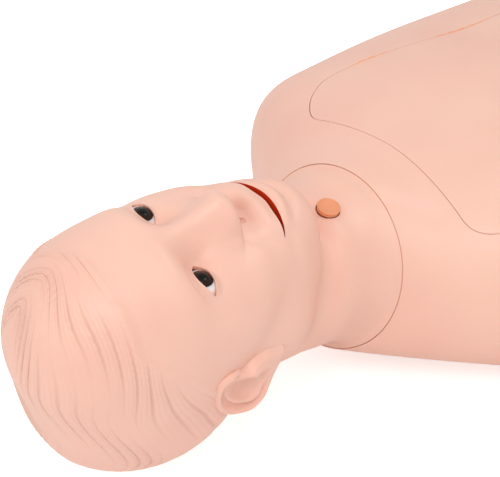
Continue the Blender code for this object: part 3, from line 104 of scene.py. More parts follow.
# the neck turns about the leaning collar's axis, and the head is pitched on the neck
lean = math.radians(-16.1)
collarCentre = np.array([0.0, -0.1031, 0.112])
collarAxis = (0.0, math.cos(lean), math.sin(lean))
torsoFrame = shiftBy(*collarCentre)
collarFrame = torsoFrame @ turnAbout(lean, (1, 0, 0))
neckFrame = torsoFrame @ turnAbout(math.radians(13.6), collarAxis) @ turnAbout(lean, (1, 0, 0))
headFrame = neckFrame @ shiftBy(0, -0.1554, -0.0202) @ turnAbout(math.radians(14.0), (1, 0, 0))


def gridFaces(rows, columns):
    # quads of a grid whose columns run round and meet
    i = np.arange(rows - 1)[:, None] * columns
    j = np.arange(columns)[None]
    k = (j + 1) % columns
    return np.stack([i + j, i + k, i + columns + k, i + columns + j], -1).reshape(-1, 4).tolist()


def closedSkin(rings):
    # rings joined in order, with a pole at each end
    rows, columns = rings.shape[:2]
    points = np.vstack([rings.reshape(-1, 3), rings[0].mean(0), rings[-1].mean(0)])
    faces = gridFaces(rows, columns)
    j = np.arange(columns)
    k = (j + 1) % columns
    last = (rows - 1) * columns
    first = rows * columns
    faces += np.stack([k, j, 0 * j + first], -1).tolist()
    faces += np.stack([last + j, last + k, 0 * j + first + 1], -1).tolist()
    return points, faces


def wrapFaces(rows, columns):
    i = np.arange(rows)[:, None] * columns
    after = (np.arange(rows)[:, None] + 1) % rows * columns
    j = np.arange(columns)[None]
    k = (j + 1) % columns
    return np.stack([i + j, i + k, after + k, after + j], -1).reshape(-1, 4).tolist()


def turned(profile, sides):
    # (radius, height) points turned round Z, with a pole at each end
    profile = np.array(profile, float)
    v = np.linspace(0, 2 * math.pi, sides, endpoint=False)
    r, z = profile[:, :1], profile[:, 1:] + 0 * v
    return closedSkin(np.stack([r * np.cos(v), r * np.sin(v), z], -1))


def placed(shape, matrix):
    return toWorld(matrix, shape[0]), shape[1]


def together(shapes):
    points, faces, start = [], [], 0
    for p, f in shapes:
        points.append(p)
        faces += [[n + start for n in face] for face in f]
        start += len(p)
    return np.vstack(points), faces


def newObject(name, shape):
    mesh = bpy.data.meshes.new(name)
    mesh.from_pydata(shape[0].tolist(), [], shape[1])
    bm = bmesh.new()
    bm.from_mesh(mesh)
    bmesh.ops.recalc_face_normals(bm, faces=bm.faces)
    bm.to_mesh(mesh)
    bm.free()
    obj = bpy.data.objects.new(name, mesh)
    scene.collection.objects.link(obj)
    return obj


def carved(obj, shape, operation="DIFFERENCE"):
    # obj with the shape taken away or added, as plain mesh
    tool = newObject("tool", shape)
    cut = obj.modifiers.new("cut", "BOOLEAN")
    cut.operation = operation
    cut.solver = "EXACT"
    cut.object = tool
    graph = bpy.context.evaluated_depsgraph_get()
    mesh = bpy.data.meshes.new_from_object(obj.evaluated_get(graph))
    obj.modifiers.clear()
    obj.data = mesh
    bpy.data.objects.remove(tool)
    return obj


def smoothed(obj, angle=38):
    obj.data.shade_smooth()
    obj.data.set_sharp_from_angle(angle=math.radians(angle))
    return obj


def finished(obj, body, slotName, material, *stands):
    obj.data.materials.clear()
    obj.data.materials.append(material)
    if body:
        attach(obj, body)
    if stands:
        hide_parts(*stands)
    return obj


def linear(hexValue):
    c = np.array([int(hexValue[k:k + 2], 16) for k in (1, 3, 5)]) / 255.0
    c = np.where(c <= 0.04045, c / 12.92, ((c + 0.055) / 1.055) ** 2.4)
    return (*c.tolist(), 1.0)


def addNode(tree, kind, settings=None, links=None):
    # settings: property or input name to value; links: input name to another node's output
    node = tree.nodes.new(kind)
    for key, value in (settings or {}).items():
        if isinstance(key, int) or key in node.inputs:
            node.inputs[key].default_value = value
        else:
            setattr(node, key, value)
    for key, output in (links or {}).items():
        tree.links.new(output, node.inputs[key])
    return node


def newMaterial(name):
    material = bpy.data.materials.new(name)
    material.use_nodes = True
    tree = material.node_tree
    tree.nodes.clear()
    shader = addNode(tree, "ShaderNodeBsdfPrincipled")
    addNode(tree, "ShaderNodeOutputMaterial", None, {"Surface": shader.outputs[0]})
    return material, tree, shader


def colourRamp(tree, factor, stops, interpolation="LINEAR"):
    ramp = addNode(tree, "ShaderNodeValToRGB", None, {"Fac": factor})
    ramp.color_ramp.interpolation = interpolation
    while len(ramp.color_ramp.elements) < len(stops):
        ramp.color_ramp.elements.new(0.5)
    for element, (place, colour) in zip(ramp.color_ramp.elements, stops):
        element.position = place
        element.color = linear(colour)
    return ramp


def mouldedMaterial(name, colours, roughness, grain, bump, settings=None):
    # a moulded or rubbed surface: slow colour drift over centimetres and a fine grain in the gloss
    material, tree, shader = newMaterial(name)
    place = addNode(tree, "ShaderNodeTexCoord")
    drift = addNode(tree, "ShaderNodeTexNoise", {"Scale": 9.0, "Detail": 2.0, "Roughness": 0.5},
                    {"Vector": place.outputs["Object"]})
    ramp = colourRamp(tree, drift.outputs["Fac"], [(0.32, colours[0]), (0.68, colours[1])])
    tree.links.new(ramp.outputs["Color"], shader.inputs["Base Color"])
    fine = addNode(tree, "ShaderNodeTexNoise", {"Scale": grain, "Detail": 3.0},
                   {"Vector": place.outputs["Object"]})
    rough = addNode(tree, "ShaderNodeMapRange", {"To Min": roughness - 0.05, "To Max": roughness + 0.05},
                    {"Value": fine.outputs["Fac"]})
    tree.links.new(rough.outputs["Result"], shader.inputs["Roughness"])
    relief = addNode(tree, "ShaderNodeBump", {"Strength": bump, "Distance": 0.0004},
                     {"Height": fine.outputs["Fac"]})
    tree.links.new(relief.outputs["Normal"], shader.inputs["Normal"])
    for key, value in (settings or {}).items():
        shader.inputs[key].default_value = value
    return material


# soft PVC skin, rotation moulded: satin, faintly see-through, pinker where the wall is thin
softSkin = {"Subsurface Weight": 0.10, "Subsurface Radius": (1.0, 0.45, 0.25), "Subsurface Scale": 0.006,
            "IOR": 1.53}
skinVinyl = mouldedMaterial("soft_skin_vinyl", ("#F5C7B3", "#F1BEAC"), 0.44, 700.0, 0.10, softSkin)


def dyed(material, factor, colour):
    # the material's colour mixed toward another by a factor's output
    tree = material.node_tree
    shader = next(n for n in tree.nodes if n.type == "BSDF_PRINCIPLED")
    dye = addNode(tree, "ShaderNodeMix", {"data_type": "RGBA"}, {0: factor})
    tree.links.new(shader.inputs["Base Color"].links[0].from_socket, dye.inputs[6])
    dye.inputs[7].default_value = linear(colour)
    tree.links.new(dye.outputs[2], shader.inputs["Base Color"])
    return shader


def markOf(tree, name):
    return addNode(tree, "ShaderNodeAttribute", {"attribute_name": name}).outputs["Fac"]


def worked(tree, operation, first, second, settings=None):
    # a maths node on an output and a number
    node = addNode(tree, "ShaderNodeMath", {"operation": operation, **(settings or {})}, {0: first})
    if second is not None:
        node.inputs[1].default_value = second
    return node


def paintedShadeIn(material, colour):
    # painted shade: a darker, warmer tone in the folds marked for it and in the creases of the moulded hair;
    # the creases are also cut in relief
    tree = material.node_tree
    foldShade, strand, underHair = (markOf(tree, name) for name in ("foldShade", "strand", "underHair"))
    lines = []
    for pitch, wide in ((1.0, 0.15), (3.0, 0.26)):
        part = worked(tree, "FRACT", worked(tree, "MULTIPLY", strand, pitch).outputs[0], None)
        away = worked(tree, "ABSOLUTE", worked(tree, "SUBTRACT", part.outputs[0], 0.5).outputs[0], None)
        shape = {"interpolation_type": "SMOOTHSTEP", "From Min": wide, "From Max": 0.0}
        lines.append(addNode(tree, "ShaderNodeMapRange", shape, {"Value": away.outputs[0]}).outputs["Result"])
    both = worked(tree, "MULTIPLY_ADD", lines[1], 0.35)
    tree.links.new(lines[0], both.inputs[2])
    under = addNode(tree, "ShaderNodeMath", {"operation": "MULTIPLY"}, {0: both.outputs[0], 1: underHair})
    # painted shade in the hair's creases at a fifth of full strength, added to the folds' painted shade
    tone = worked(tree, "MULTIPLY_ADD", under.outputs[0], 0.20, {"use_clamp": True})
    tree.links.new(foldShade, tone.inputs[2])
    shader = dyed(material, tone.outputs[0], colour)
    deep = addNode(tree, "ShaderNodeBump", {"Strength": 0.45, "Distance": 0.0010, "invert": True},
                   {"Height": under.outputs[0], "Normal": shader.inputs["Normal"].links[0].from_socket})
    tree.links.new(deep.outputs["Normal"], shader.inputs["Normal"])


# CC8468 is the colour of the painted shade in the folds and hair creases
paintedShadeIn(skinVinyl, "#CC8468")
dyed(skinVinyl, markOf(skinVinyl.node_tree, "lining"), "#D2380F")
# painted shade: an orange bead along the far seam, and a dark red dot for the unlit hole of the ear
seamShadeOrange = mouldedMaterial("seam_shade_orange", ("#F4B08C", "#EE9E78"), 0.35, 300.0, 0.1)
canalShade = mouldedMaterial("ear_canal_shade", ("#8E2A12", "#7A2410"), 0.5, 300.0, 0.05)
# injected styrene, cast silicone and latex, acrylic teeth, zinc-plated screws and an acetal washer
hardPlastic = mouldedMaterial("moulded_plastic", ("#D8CFC2", "#CFC5B6"), 0.50, 500.0, 0.15)
mouthRubber = mouldedMaterial("mouth_red_rubber", ("#E2401A", "#D8330F"), 0.35, 300.0, 0.12)
toothIvory = mouldedMaterial("tooth_ivory", ("#EFE6D0", "#E6DABF"), 0.28, 400.0, 0.05)
airwayRubber = mouldedMaterial("airway_rubber", ("#D98F7C", "#CC7B68"), 0.48, 350.0, 0.12)
plugRubber = mouldedMaterial("plug_orange_rubber", ("#EFA479", "#EA976B"), 0.42, 600.0, 0.12)
bagRubber = mouldedMaterial("bag_rubber", ("#E3CDA8", "#D8BF96"), 0.60, 300.0, 0.20)
zincSteel = mouldedMaterial("zinc_plated_steel", ("#C2C3C6", "#B4B6BA"), 0.30, 900.0, 0.05, {"Metallic": 1.0})
washerPlastic = mouldedMaterial("washer_plastic", ("#ECEBE6", "#E2E0DA"), 0.38, 500.0, 0.05)
materialOfSlot = {"soft_skin_vinyl": skinVinyl, "moulded_plastic": hardPlastic,
                  "mouth_red_rubber": mouthRubber, "tooth_ivory": toothIvory,
                  "airway_rubber": airwayRubber, "plug_orange_rubber": plugRubber,
                  "bag_rubber": bagRubber, "zinc_plated_steel": zincSteel,
                  "washer_plastic": washerPlastic, "eye_enamel": hardPlastic}
for part in frame["record"]["subparts"]:
    carried = nodes[part["node"]]
    carried.data.materials.clear()
    carried.data.materials.append(materialOfSlot[part["material_slot"]])
print("materials made")


def ellipsoid(p, centre, radii):
    radii = np.array(radii, float)
    q = (p - np.array(centre, float)) / radii
    k0 = np.sqrt((q ** 2).sum(-1)) + 1e-9
    k1 = np.sqrt(((q / radii) ** 2).sum(-1)) + 1e-9
    return k0 * (k0 - 1.0) / k1


def joined(a, b, k):
    # smooth union of two level functions, with a fillet of about k
    h = np.clip(0.5 + 0.5 * (b - a) / k, 0.0, 1.0)
    return mix(b, a, h) - k * h * (1.0 - h)


def common(a, b, k):
    return -joined(-a, -b, k)


def headLevel(q):
    # q in millimetres of the head: x to its right, y to its feet, z to its face; negative inside
    m = np.concatenate([np.abs(q[..., :1]), q[..., 1:]], -1)
    d = joined(ellipsoid(q, (0, -40, -24), (80, 91, 86)), ellipsoid(q, (0, -56, 22), (76, 84, 76)), 22)
    d = joined(d, ellipsoid(m, (0, 14, 26), (67, 70, 60)), 24)
    d = joined(d, ellipsoid(m, (47, 3, 47), (21, 26, 23)), 18)
    d = joined(d, ellipsoid(m, (0, 62, 32), (57, 49, 52)), 20)
    d = joined(d, ellipsoid(m, (52, 47, 9), (20, 32, 26)), 18)
    return joined(d, ellipsoid(q, (0, 84, 65), (29, 18, 22)), 16)


def neckLevel(p):
    # a tube from the skull to the collar, flared at its foot; p in metres in the world
    q = toLocal(neckFrame, p)
    x, y, z = q[..., 0], q[..., 1], q[..., 2]
    t = np.clip((y + 0.1354) / 0.1354, 0.0, 1.0)
    rx, rz = mix(0.058, 0.062, t), mix(0.050, 0.058, t)
    tube = (np.sqrt((x / rx) ** 2 + ((z - mix(-0.036, 0.0, t)) / rz) ** 2) - 1.0) * np.minimum(rx, rz)
    tube = common(tube, -0.108 - y, 0.012)
    flare = 0.0768 - 0.0188 * (1 - np.exp(np.minimum(y, 0.0) / 0.013))
    foot = common(np.sqrt(x ** 2 + z ** 2) - flare, -0.045 - y, 0.014)
    return joined(tube, foot, 0.018)


def skinLevel(p):
    return joined(headLevel(toLocal(headFrame, p) * 1000) * 0.001, neckLevel(p), 0.016)


def frontOf(x, y):
    # height of the plain form's front over the head's (x, y)
    return edgeOf(lambda z: headLevel(np.stack([x, y, z], -1)) < 0,
                  np.zeros_like(x), np.full_like(x, 140.0), 36)


face = {"eye": (35.3, -21.3, 72.0), "eyeRadius": 13.0, "eyeWide": 1.07, "lidWall": 1.4, "cornerIn": 23.0,
        "cornerOut": 49.6, "upperLid": 7.0, "lowerLid": 4.8, "iris": 8.0, "mouthHalf": 32.5}
eyeMiddle = np.array(face["eye"])


def fullness(a, y):
    # the soft face stands fuller than the plain form at the brows, eyes, cheeks and chin
    h = 4.4 * np.exp(-(a / 50.0) ** 6) * ease((y + 66) / 30)
    h = h * (1 - 0.5 * ease((y - 30) / 28)) * (1 - ease((y - 66) / 18))
    h += 6.4 * bell(a, y, 55, -28, 11, 15) + 7.0 * bell(a, y, 50, 30, 13, 12)
    return h + 2.6 * bell(a, y, 34, 71, 12, 10)


def noseRelief(x, y):
    # a bridge that rises to the tip, a rounded end and a steep underside, with a wing at each side
    a = np.abs(x)
    end = 29.5 - 0.012 * a ** 2
    t = np.clip((y - 11.0) / (end - 11.0), 0, 1)
    under = np.sqrt(np.maximum(1 - t ** 3.2, 0.0))
    bridge = mix(3.0, 20.0, np.clip((y + 24) / 35.0, 0, 1) ** 1.25) * ease((y + 40) / 20)
    wide = mix(7.5, 11.0, np.clip((y + 20) / 33, 0, 1))
    h = np.where(y < 11.0, bridge, 20.0) * np.exp(-0.5 * (x / wide) ** 2)
    h += 1.6 * bell(x, y, 0, 17, 8, 7) + 8.0 * bell(a, y, 14.5, 20.0, 5.8, 6.8)
    h = h * np.where(y > 11.0, under, 1.0)
    h -= 1.4 * np.exp(-((a - 21.5) / 2.4) ** 2 - ((y - 18.0) / 6.5) ** 2)
    return h - 3.2 * bell(a, y, 8.5, 40.0, 6.5, 4.6)


def plainRelief(q):
    # height of the brows, eye hollows, nose, lips and chin groove over the plain form
    a, x, y = np.abs(q[..., 0]), q[..., 0], q[..., 1]
    h = fullness(a, y) + 2.0 * bell(a, y, 26, -38, 16, 8)
    h -= 4.6 * bell(a, y, 33, -20, 15, 11) + 6.6 * bell(a, y, 20, -18, 7.5, 9.5)
    h += noseRelief(x, y)
    lower = y - (68.0 - 0.010 * x ** 2)
    h += 4.6 * bell(x, y, 0, 51, 25, 6.5) - 1.0 * bell(x, y, 0, 61.0, 25, 2.6)
    h += 6.0 * np.exp(-0.5 * (x / 20.0) ** 2 - 0.5 * (lower / 5.0) ** 2)
    crease = y - (78.5 - 0.016 * x ** 2)
    return h - 2.0 * np.exp(-0.5 * (crease / 3.4) ** 2 - (x / 24.0) ** 4)


def strandPlace(x, y, z):
    # distance behind the main strand, which runs along the hairline from the parting to behind the ear
    d = -y - 88.0 + 28.0 * ease((20.0 - z) / 75.0)
    spread = mix(0.48, 1.0, ease((np.abs(x + 22.0) + 2.0) / 52.0))
    fan = mix(1.0, 2.2, ease((50.0 - z) / 60.0))
    return np.where(d > 0, d / spread, d / fan)


hair = {"hairlineZ": [-60, -20, 8, 14, 31, 46, 56, 63],
        "hairlineY": [10, -10, -22, -29, -41, -58, -74, -83.5],
        "pitch": 7.9, "shift": 1.0, "crease": 1.15, "depth": 1.15}


def hairPlace(q):
    # the hairline's y beside each point, the place across the strands, and how strongly they are cut
    x, y, z = q[..., 0], q[..., 1], q[..., 2]
    edge = np.interp(z, hair["hairlineZ"], hair["hairlineY"])
    edge = edge - 0.006 * np.minimum(x - 2.0, 0.0) ** 2 * ease((z - 50) / 20)
    d = strandPlace(x, y, z) + 0.9 * np.sin(x / 15.0 + z / 19.0)
    calm = 1 - 0.6 * ease((-x - 34.0) / 22.0)
    strong = np.clip(0.55 + 0.5 * np.sin(x / 19.0 - z / 23.0 + d / 7.0), 0.08, 1)
    return edge, d + hair["shift"], calm, strong


def hairRelief(q):
    # moulded hair: full between its creases, behind a raised hairline
    y, z = q[..., 1], q[..., 2]
    edge, d, calm, strong = hairPlace(q)
    crease = np.exp(-(((d % hair["pitch"]) - hair["pitch"] / 2) / hair["crease"]) ** 2)
    ridge = 1.3 * np.exp(-((edge - y - 2.6) / 2.6) ** 2) * ease((z - 48.0) / 14.0)
    bulk = mix(1.2, -2.4, ease((-y - 106.0) / 24.0) * ease((20.0 - z) / 38.0))
    return ease((edge - y + 0.5) / 4.5) * (bulk - hair["depth"] * calm * strong * crease) + ridge


def hairMarks(p):
    # how far under the hairline a point is, and its place across the strands in strand widths
    q = toLocal(headFrame, p) * 1000
    edge, d, calm, strong = hairPlace(q)
    return ease((edge - q[..., 1] - 1.0) / 6.0) * (calm * strong), d / hair["pitch"]


def faceRelief(q):
    a, x, y = np.abs(q[..., 0]), q[..., 0], q[..., 1]
    h = plainRelief(q)
    h -= 0.5 * bell(x, y, 0, 46.0, 3.4, 5.0)
    fold = a - (23.0 + 0.42 * (y - 22.0))
    h -= 0.8 * np.exp(-(fold / 4.0) ** 2) * ease((y - 20) / 10) * ease((52 - y) / 12)
    h -= 0.9 * bell(a, y, 32.5, 58.5, 3.5, 4.5)
    return h


def lidded(q):
    # eyelids: the skin lies over the eyeball where that stands higher
    out = q.copy()
    a = np.abs(q[..., 0])
    dx, dy = (a - eyeMiddle[0]) / face["eyeWide"], q[..., 1] - eyeMiddle[1]
    radius = face["eyeRadius"] + face["lidWall"] + 0.2
    ball = eyeMiddle[2] + np.sqrt(np.maximum(radius ** 2 - dx ** 2 - dy ** 2, 0.0))
    near = (dx ** 2 + dy ** 2 < (radius + 5.0) ** 2) & (q[..., 2] > 30)
    lowered = q[..., 2] - 1.0 * bell(a, q[..., 1], eyeMiddle[0] + 1.0, eyeMiddle[1], 14, 9)
    raised = -joined(-lowered, -ball, 2.4)
    upper = np.exp(-((dy + 11.6 - 0.026 * dx ** 2) / 0.8) ** 2) * ease((16.0 - np.abs(dx - 1.0)) / 6.0)
    under = np.exp(-((dy - 9.6 + 0.016 * dx ** 2) / 1.1) ** 2) * ease((14.0 - np.abs(dx - 2.0)) / 7.0)
    out[..., 2] = np.where(near, raised, lowered) - (0.75 * upper + 0.30 * under) * (q[..., 2] > 30)
    return out


def sectionFrames(u):
    # sections fan over the skull, swing under the jaw and then follow the neck
    fan = np.clip(u / 0.55, 0, 1)
    jaw = np.clip((u - 0.55) / 0.20, 0, 1)
    neck = np.clip((u - 0.75) / 0.25, 0, 1)
    angle = np.radians(mix(83.0, 0.0, fan) - 26.0 * jaw)
    foot = np.stack([0 * u, 45.0 + 0 * u, np.where(u < 0.55, -150.0, -90.0)], -1)
    up = np.stack([0 * u, -np.sin(angle), np.cos(angle)], -1) @ headFrame[:3, :3].T
    foot = toWorld(headFrame, foot * 0.001)
    side = np.broadcast_to(headFrame[:3, 0], foot.shape)
    ringFoot = toWorld(neckFrame, np.array([0.0, 0.0, -0.0888]))
    foot = mix(foot, ringFoot, neck[:, None])
    side = unit(mix(side, neckFrame[:3, 0], ease(neck)[:, None]))
    up = unit(mix(up, neckFrame[:3, 2], neck[:, None]))
    return foot, side, up


def skinRings(u, v, inset, relief):
    # each ring is where the rays of its section leave the form that lies inset below the skin
    foot, side, up = sectionFrames(u)
    t = np.linspace(0.0, 0.33, 331)
    inside = skinLevel(foot[:, None] + t[None, :, None] * up[:, None]) + inset < 0
    kept = inside.any(1)
    first = inside.argmax(1)
    last = len(t) - 1 - inside[:, ::-1].argmax(1)
    centre = (foot + (0.5 * (t[first] + t[last]))[:, None] * up)[kept]
    side, up = side[kept], up[kept]
    ray = np.sin(v)[None, :, None] * side[:, None] + np.cos(v)[None, :, None] * up[:, None]
    out = edgeOf(lambda r: skinLevel(centre[:, None] + r[..., None] * ray) + inset < 0,
                 np.zeros(ray.shape[:2]), np.full(ray.shape[:2], 0.17), 22)
    return relief(centre[:, None] + out[..., None] * ray)


def outerRelief(rings):
    q = toLocal(headFrame, rings) * 1000
    front = ease((q[..., 2] - 20) / 25)
    out = q.copy()
    out[..., 2] += faceRelief(q) * front
    out = mix(q, lidded(out), (front > 0)[..., None])
    away = unit(q - np.array([0.0, -35.0, -5.0]))
    out = out + (hairRelief(q) * ease((40.0 - q[..., 1]) / 30.0))[..., None] * away
    p = toWorld(headFrame, out / 1000)
    n = toLocal(neckFrame, p)
    dish = bell(n[..., 0], n[..., 1], 0.0, -0.032, 0.017, 0.013) * ease(n[..., 2] / 0.03)
    return p - (0.0024 * dish)[..., None] * neckFrame[:3, 2]


def innerRelief(rings):
    q = toLocal(headFrame, rings) * 1000
    q[..., 2] += np.minimum(plainRelief(q) - 4.5, 0.0) * ease((q[..., 2] - 20) / 25)
    return toWorld(headFrame, q / 1000)


def collarRing(radius, depth, v):
    return toWorld(neckFrame, np.stack([radius * np.sin(v), depth + 0 * v, radius * np.cos(v)], -1))[None]


skin = {"stations": 320, "around": 264, "wall": 0.004}


def headShell():
    # thick skin from the crown to the collar: fine outside, plain inside
    v = np.linspace(-math.pi, math.pi, skin["around"], endpoint=False)
    v = v - 0.62 * np.sin(v)
    u = np.interp(np.linspace(0, 1, skin["stations"]), [0, 0.14, 0.24, 0.70, 0.84, 1],
                  [0, 0.25, 0.38, 0.63, 0.77, 0.985])
    outer = skinRings(u, v, 0.0, outerRelief)
    inner = skinRings(np.linspace(0.08, 0.97, 26), v, skin["wall"], innerRelief)
    rim = [collarRing(0.0766, -0.0011, v), collarRing(0.0770, -0.0006, v), collarRing(0.0771, 0.0001, v),
           collarRing(0.0769, 0.002, v), collarRing(0.0728, 0.002, v), collarRing(0.0712, -0.004, v)]
    return closedSkin(np.concatenate([outer, *rim, inner[::-1]]))


def prismAlong(outline, low, high):
    # an outline in the face's (x, y) carried along the head's z, in metres in the world
    rings = np.array([np.column_stack([outline, z + np.zeros(len(outline))]) for z in (low, high)])
    points, faces = closedSkin(rings)
    return toWorld(headFrame, points / 1000), faces


def eyeSlit(side):
    # its floor slopes with the face, so the corners of the lids stay closed behind
    outline = eyeOutline(side)
    return prismAlong(outline, 75.0 + 0.17 * (face["cornerOut"] - np.abs(outline[:, 0])), 130.0)


def mouthEdges(x):
    # the upper lip's edge with its middle hanging a little, and the lower lip's edge bowed to the chin
    a = np.abs(x)
    upper = 58.2 + 2.0 * np.exp(-(a / 10.0) ** 2) - 3.1 * (np.maximum(a - 14.0, 0.0) / 18.5) ** 2
    lower = 55.1 + 8.4 * np.maximum(1 - (a / face["mouthHalf"]) ** 2, 0.0) ** 0.8
    return upper, lower


def mouthSlit():
    # cross-sections of the slit from one corner of the mouth to the other
    x = face["mouthHalf"] * np.sin(np.linspace(-1, 1, 61) * math.pi / 2)[1:-1]
    upper, lower = mouthEdges(x)
    low, high = np.full_like(x, 60.0), np.full_like(x, 125.0)
    corners = [(x, upper, low), (x, lower, low), (x, lower, high), (x, upper, high)]
    rings = np.stack([np.stack(corner, -1) for corner in corners], 1)
    return toWorld(headFrame, rings / 1000)


def eyeOutline(side):
    # a wide open eye: full in its inner half and drawn out to the outer corner
    t = np.sin(np.linspace(-1, 1, 49) * math.pi / 2)
    middle, half = 0.5 * (face["cornerIn"] + face["cornerOut"]), 0.5 * (face["cornerOut"] - face["cornerIn"])
    rise = (1 - t ** 2) ** 0.72 * (1 - 0.20 * t)
    drop = (1 - t ** 2) ** 0.80 * (1 - 0.14 * t)
    line = eyeMiddle[1] + 1.8 - 0.2 * t
    x = side * (middle + half * t)
    top = np.column_stack([x, line - face["upperLid"] * rise])
    bottom = np.column_stack([x[-2:0:-1], line[-2:0:-1] + face["lowerLid"] * drop[-2:0:-1]])
    return np.vstack([top, bottom])


def ballAt(side, radius, bulge, sides=64):
    # an eyeball with a low cornea, its front toward the face's front
    t = np.linspace(0, math.pi, 46)[1:-1]
    r = radius + bulge * np.exp(-(t / 0.42) ** 4)
    points, faces = turned(np.column_stack([r * np.sin(t), r * np.cos(t)]), sides)
    points = points * np.array([face["eyeWide"], 1, 1]) + eyeMiddle * np.array([side, 1, 1])
    return toWorld(headFrame, points / 1000), faces


def rodBetween(start, end, radius, sides=40):
    start, end = np.array(start, float), np.array(end, float)
    way = unit(end - start)
    a = unit(np.cross(way, np.eye(3)[int(np.argmin(np.abs(way)))]))
    b = np.cross(way, a)
    v = np.linspace(0, 2 * math.pi, sides, endpoint=False)
    circle = radius * (np.cos(v)[:, None] * a + np.sin(v)[:, None] * b)
    return closedSkin(np.array([start + circle, end + circle]))


plug = {"root": np.array([0.0, -0.0203, 0.0030]), "way": unit(np.array([0.0, -0.25, 0.97])),
        "radius": 0.0095, "stem": 0.007, "gap": 0.0003}


def plugReach():
    # distance from the plug's root to the skin
    def under(r):
        return skinLevel(toWorld(neckFrame, plug["root"] + r * plug["way"])) < 0
    return float(edgeOf(under, 0.0, 0.12, 40))


nostril = {"x": 7.6, "y": 31.0, "sunk": 1.0, "half": (3.1, 7.5, 4.2), "probe": (7.5, 30.0)}


def nostrilTool(side):
    x, y = nostril["probe"]
    z = float(frontOf(np.array([x]), np.array([y]))[0]) + float(plainRelief(np.array([[x, y, 0]]))[0])
    t, v = np.linspace(0, math.pi, 14)[1:-1], np.linspace(0, 2 * math.pi, 28, endpoint=False)
    wide, long, high = nostril["half"]
    rings = [np.outer(np.sin(t), wide * np.cos(v)), np.outer(-np.cos(t), long + 0 * v),
             np.outer(np.sin(t), high * np.sin(v))]
    points, faces = closedSkin(np.stack(rings, -1))
    points = points + np.array([side * nostril["x"], nostril["y"], z - nostril["sunk"]])
    return toWorld(headFrame, points / 1000), faces


def marked(obj, name, values, domain="POINT"):
    obj.data.attributes.new(name, "FLOAT", domain).data.foreach_set("value", values.astype(np.float32))


def faceValues(obj, kind):
    values = np.zeros(len(obj.data.polygons) * 3)
    obj.data.polygons.foreach_get(kind, values)
    return values.reshape(-1, 3)


def markLining(obj):
    # the upright walls of the mouth's slit take the mouth's red, those of the lids a little of it
    q = toLocal(headFrame, faceValues(obj, "center")) * 1000
    rise = faceValues(obj, "normal") @ headFrame[:3, 2]
    a = np.abs(q[:, 0])
    upper, lower = mouthEdges(q[:, 0])
    inMouth = (q[:, 1] > upper - 0.25) & (q[:, 1] < lower + 0.25) & (a < face["mouthHalf"] + 0.3)
    inMouth &= (np.abs(rise) < 0.25) & (q[:, 2] > 50)
    away = np.stack([a, q[:, 1], q[:, 2]], -1) - eyeMiddle
    away[:, 0] /= face["eyeWide"]
    inLids = (np.linalg.norm(away, axis=1) < face["eyeRadius"] + 2.6) & (q[:, 2] > 70)
    inLids &= insideEye(q, 1) | insideEye(q, -1)
    marked(obj, "lining", inMouth + 0.26 * (inLids & ~inMouth), "FACE")


def foldShadeOf(p):
    # painted shade in the folds: beside the nose's end, more on its left, at the nose's root and over the
    # lids
    q = toLocal(headFrame, p) * 1000
    a, x, y = np.abs(q[:, 0]), q[:, 0], q[:, 1]
    foldShade = 0.50 * bell(x, y, -5.0, 41.5, 6.5, 3.8) + 0.25 * bell(x, y, 5.0, 40.0, 5.0, 3.0)
    foldShade += 0.18 * bell(a, y, 21.0, -16.0, 5.0, 6.0) + 0.14 * bell(a, y, 36.0, -29.0, 10.0, 3.0)
    return foldShade * (q[:, 2] > 55)


def insideEye(q, side):
    # whether points lie within an eye's outline
    outline = eyeOutline(side)
    following = np.roll(outline, -1, axis=0)
    within = np.zeros(len(q), bool)
    for (x0, y0), (x1, y1) in zip(outline, following):
        crosses = (y0 > q[:, 1]) != (y1 > q[:, 1])
        within ^= crosses & (q[:, 0] < (x1 - x0) * (q[:, 1] - y0) / (y1 - y0 + 1e-12) + x0)
    return within


def makeHeadSkin():
    obj = newObject("head_skin_full", headShell())
    reach = plugReach()
    low, high = (plug["root"] + r * plug["way"] for r in (reach - 0.012, reach + 0.02))
    hole = rodBetween(low, high, plug["radius"] + plug["gap"], 48)
    first = [closedSkin(mouthSlit()), placed(hole, neckFrame), nostrilTool(1), nostrilTool(-1)]
    first += [ballAt(1, face["eyeRadius"] + 0.15, 0.8), ballAt(-1, face["eyeRadius"] + 0.15, 0.8)]
    carved(obj, together(first))
    carved(obj, together([eyeSlit(1), eyeSlit(-1)]))
    return smoothed(obj)


def partOf(obj, name, keep):
    # the faces marked keep, with the whole surface's own shading along the cut
    mesh = obj.data
    starts = np.zeros(len(mesh.polygons), np.int32)
    mesh.polygons.foreach_get("loop_start", starts)
    totals = np.zeros(len(mesh.polygons), np.int32)
    mesh.polygons.foreach_get("loop_total", totals)
    corners = np.zeros(len(mesh.loops), np.int32)
    mesh.loops.foreach_get("vertex_index", corners)
    normals = np.zeros(len(mesh.loops) * 3, np.float32)
    mesh.corner_normals.foreach_get("vector", normals)
    normals = normals.reshape(-1, 3)
    points = np.zeros(len(mesh.vertices) * 3)
    mesh.vertices.foreach_get("co", points)
    keptLoops = np.repeat(keep, totals)
    used, index = np.unique(corners[keptLoops], return_inverse=True)
    bounds = np.concatenate([[0], np.cumsum(totals[keep])])
    faces = [index[bounds[k]:bounds[k + 1]].tolist() for k in range(len(bounds) - 1)]
    new = bpy.data.meshes.new(name)
    new.from_pydata(points.reshape(-1, 3)[used].tolist(), [], faces)
    new.shade_smooth()
    new.normals_split_custom_set(normals[keptLoops].tolist())
    made = bpy.data.objects.new(name, new)
    scene.collection.objects.link(made)
    return made


def underJaw():
    # the section just under the chin, where the face ends and the neck begins
    foot, side, up = sectionFrames(np.array([0.75]))
    normal = unit(np.cross(side[0], up[0]))
    normal = normal if normal @ neckFrame[:3, 1] > 0 else -normal
    return foot[0], normal


def blendBy(obj, weights):
    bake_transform(obj)


def pointsOf(obj):
    co = np.zeros(len(obj.data.vertices) * 3)
    obj.data.vertices.foreach_get("co", co)
    return co.reshape(-1, 3)


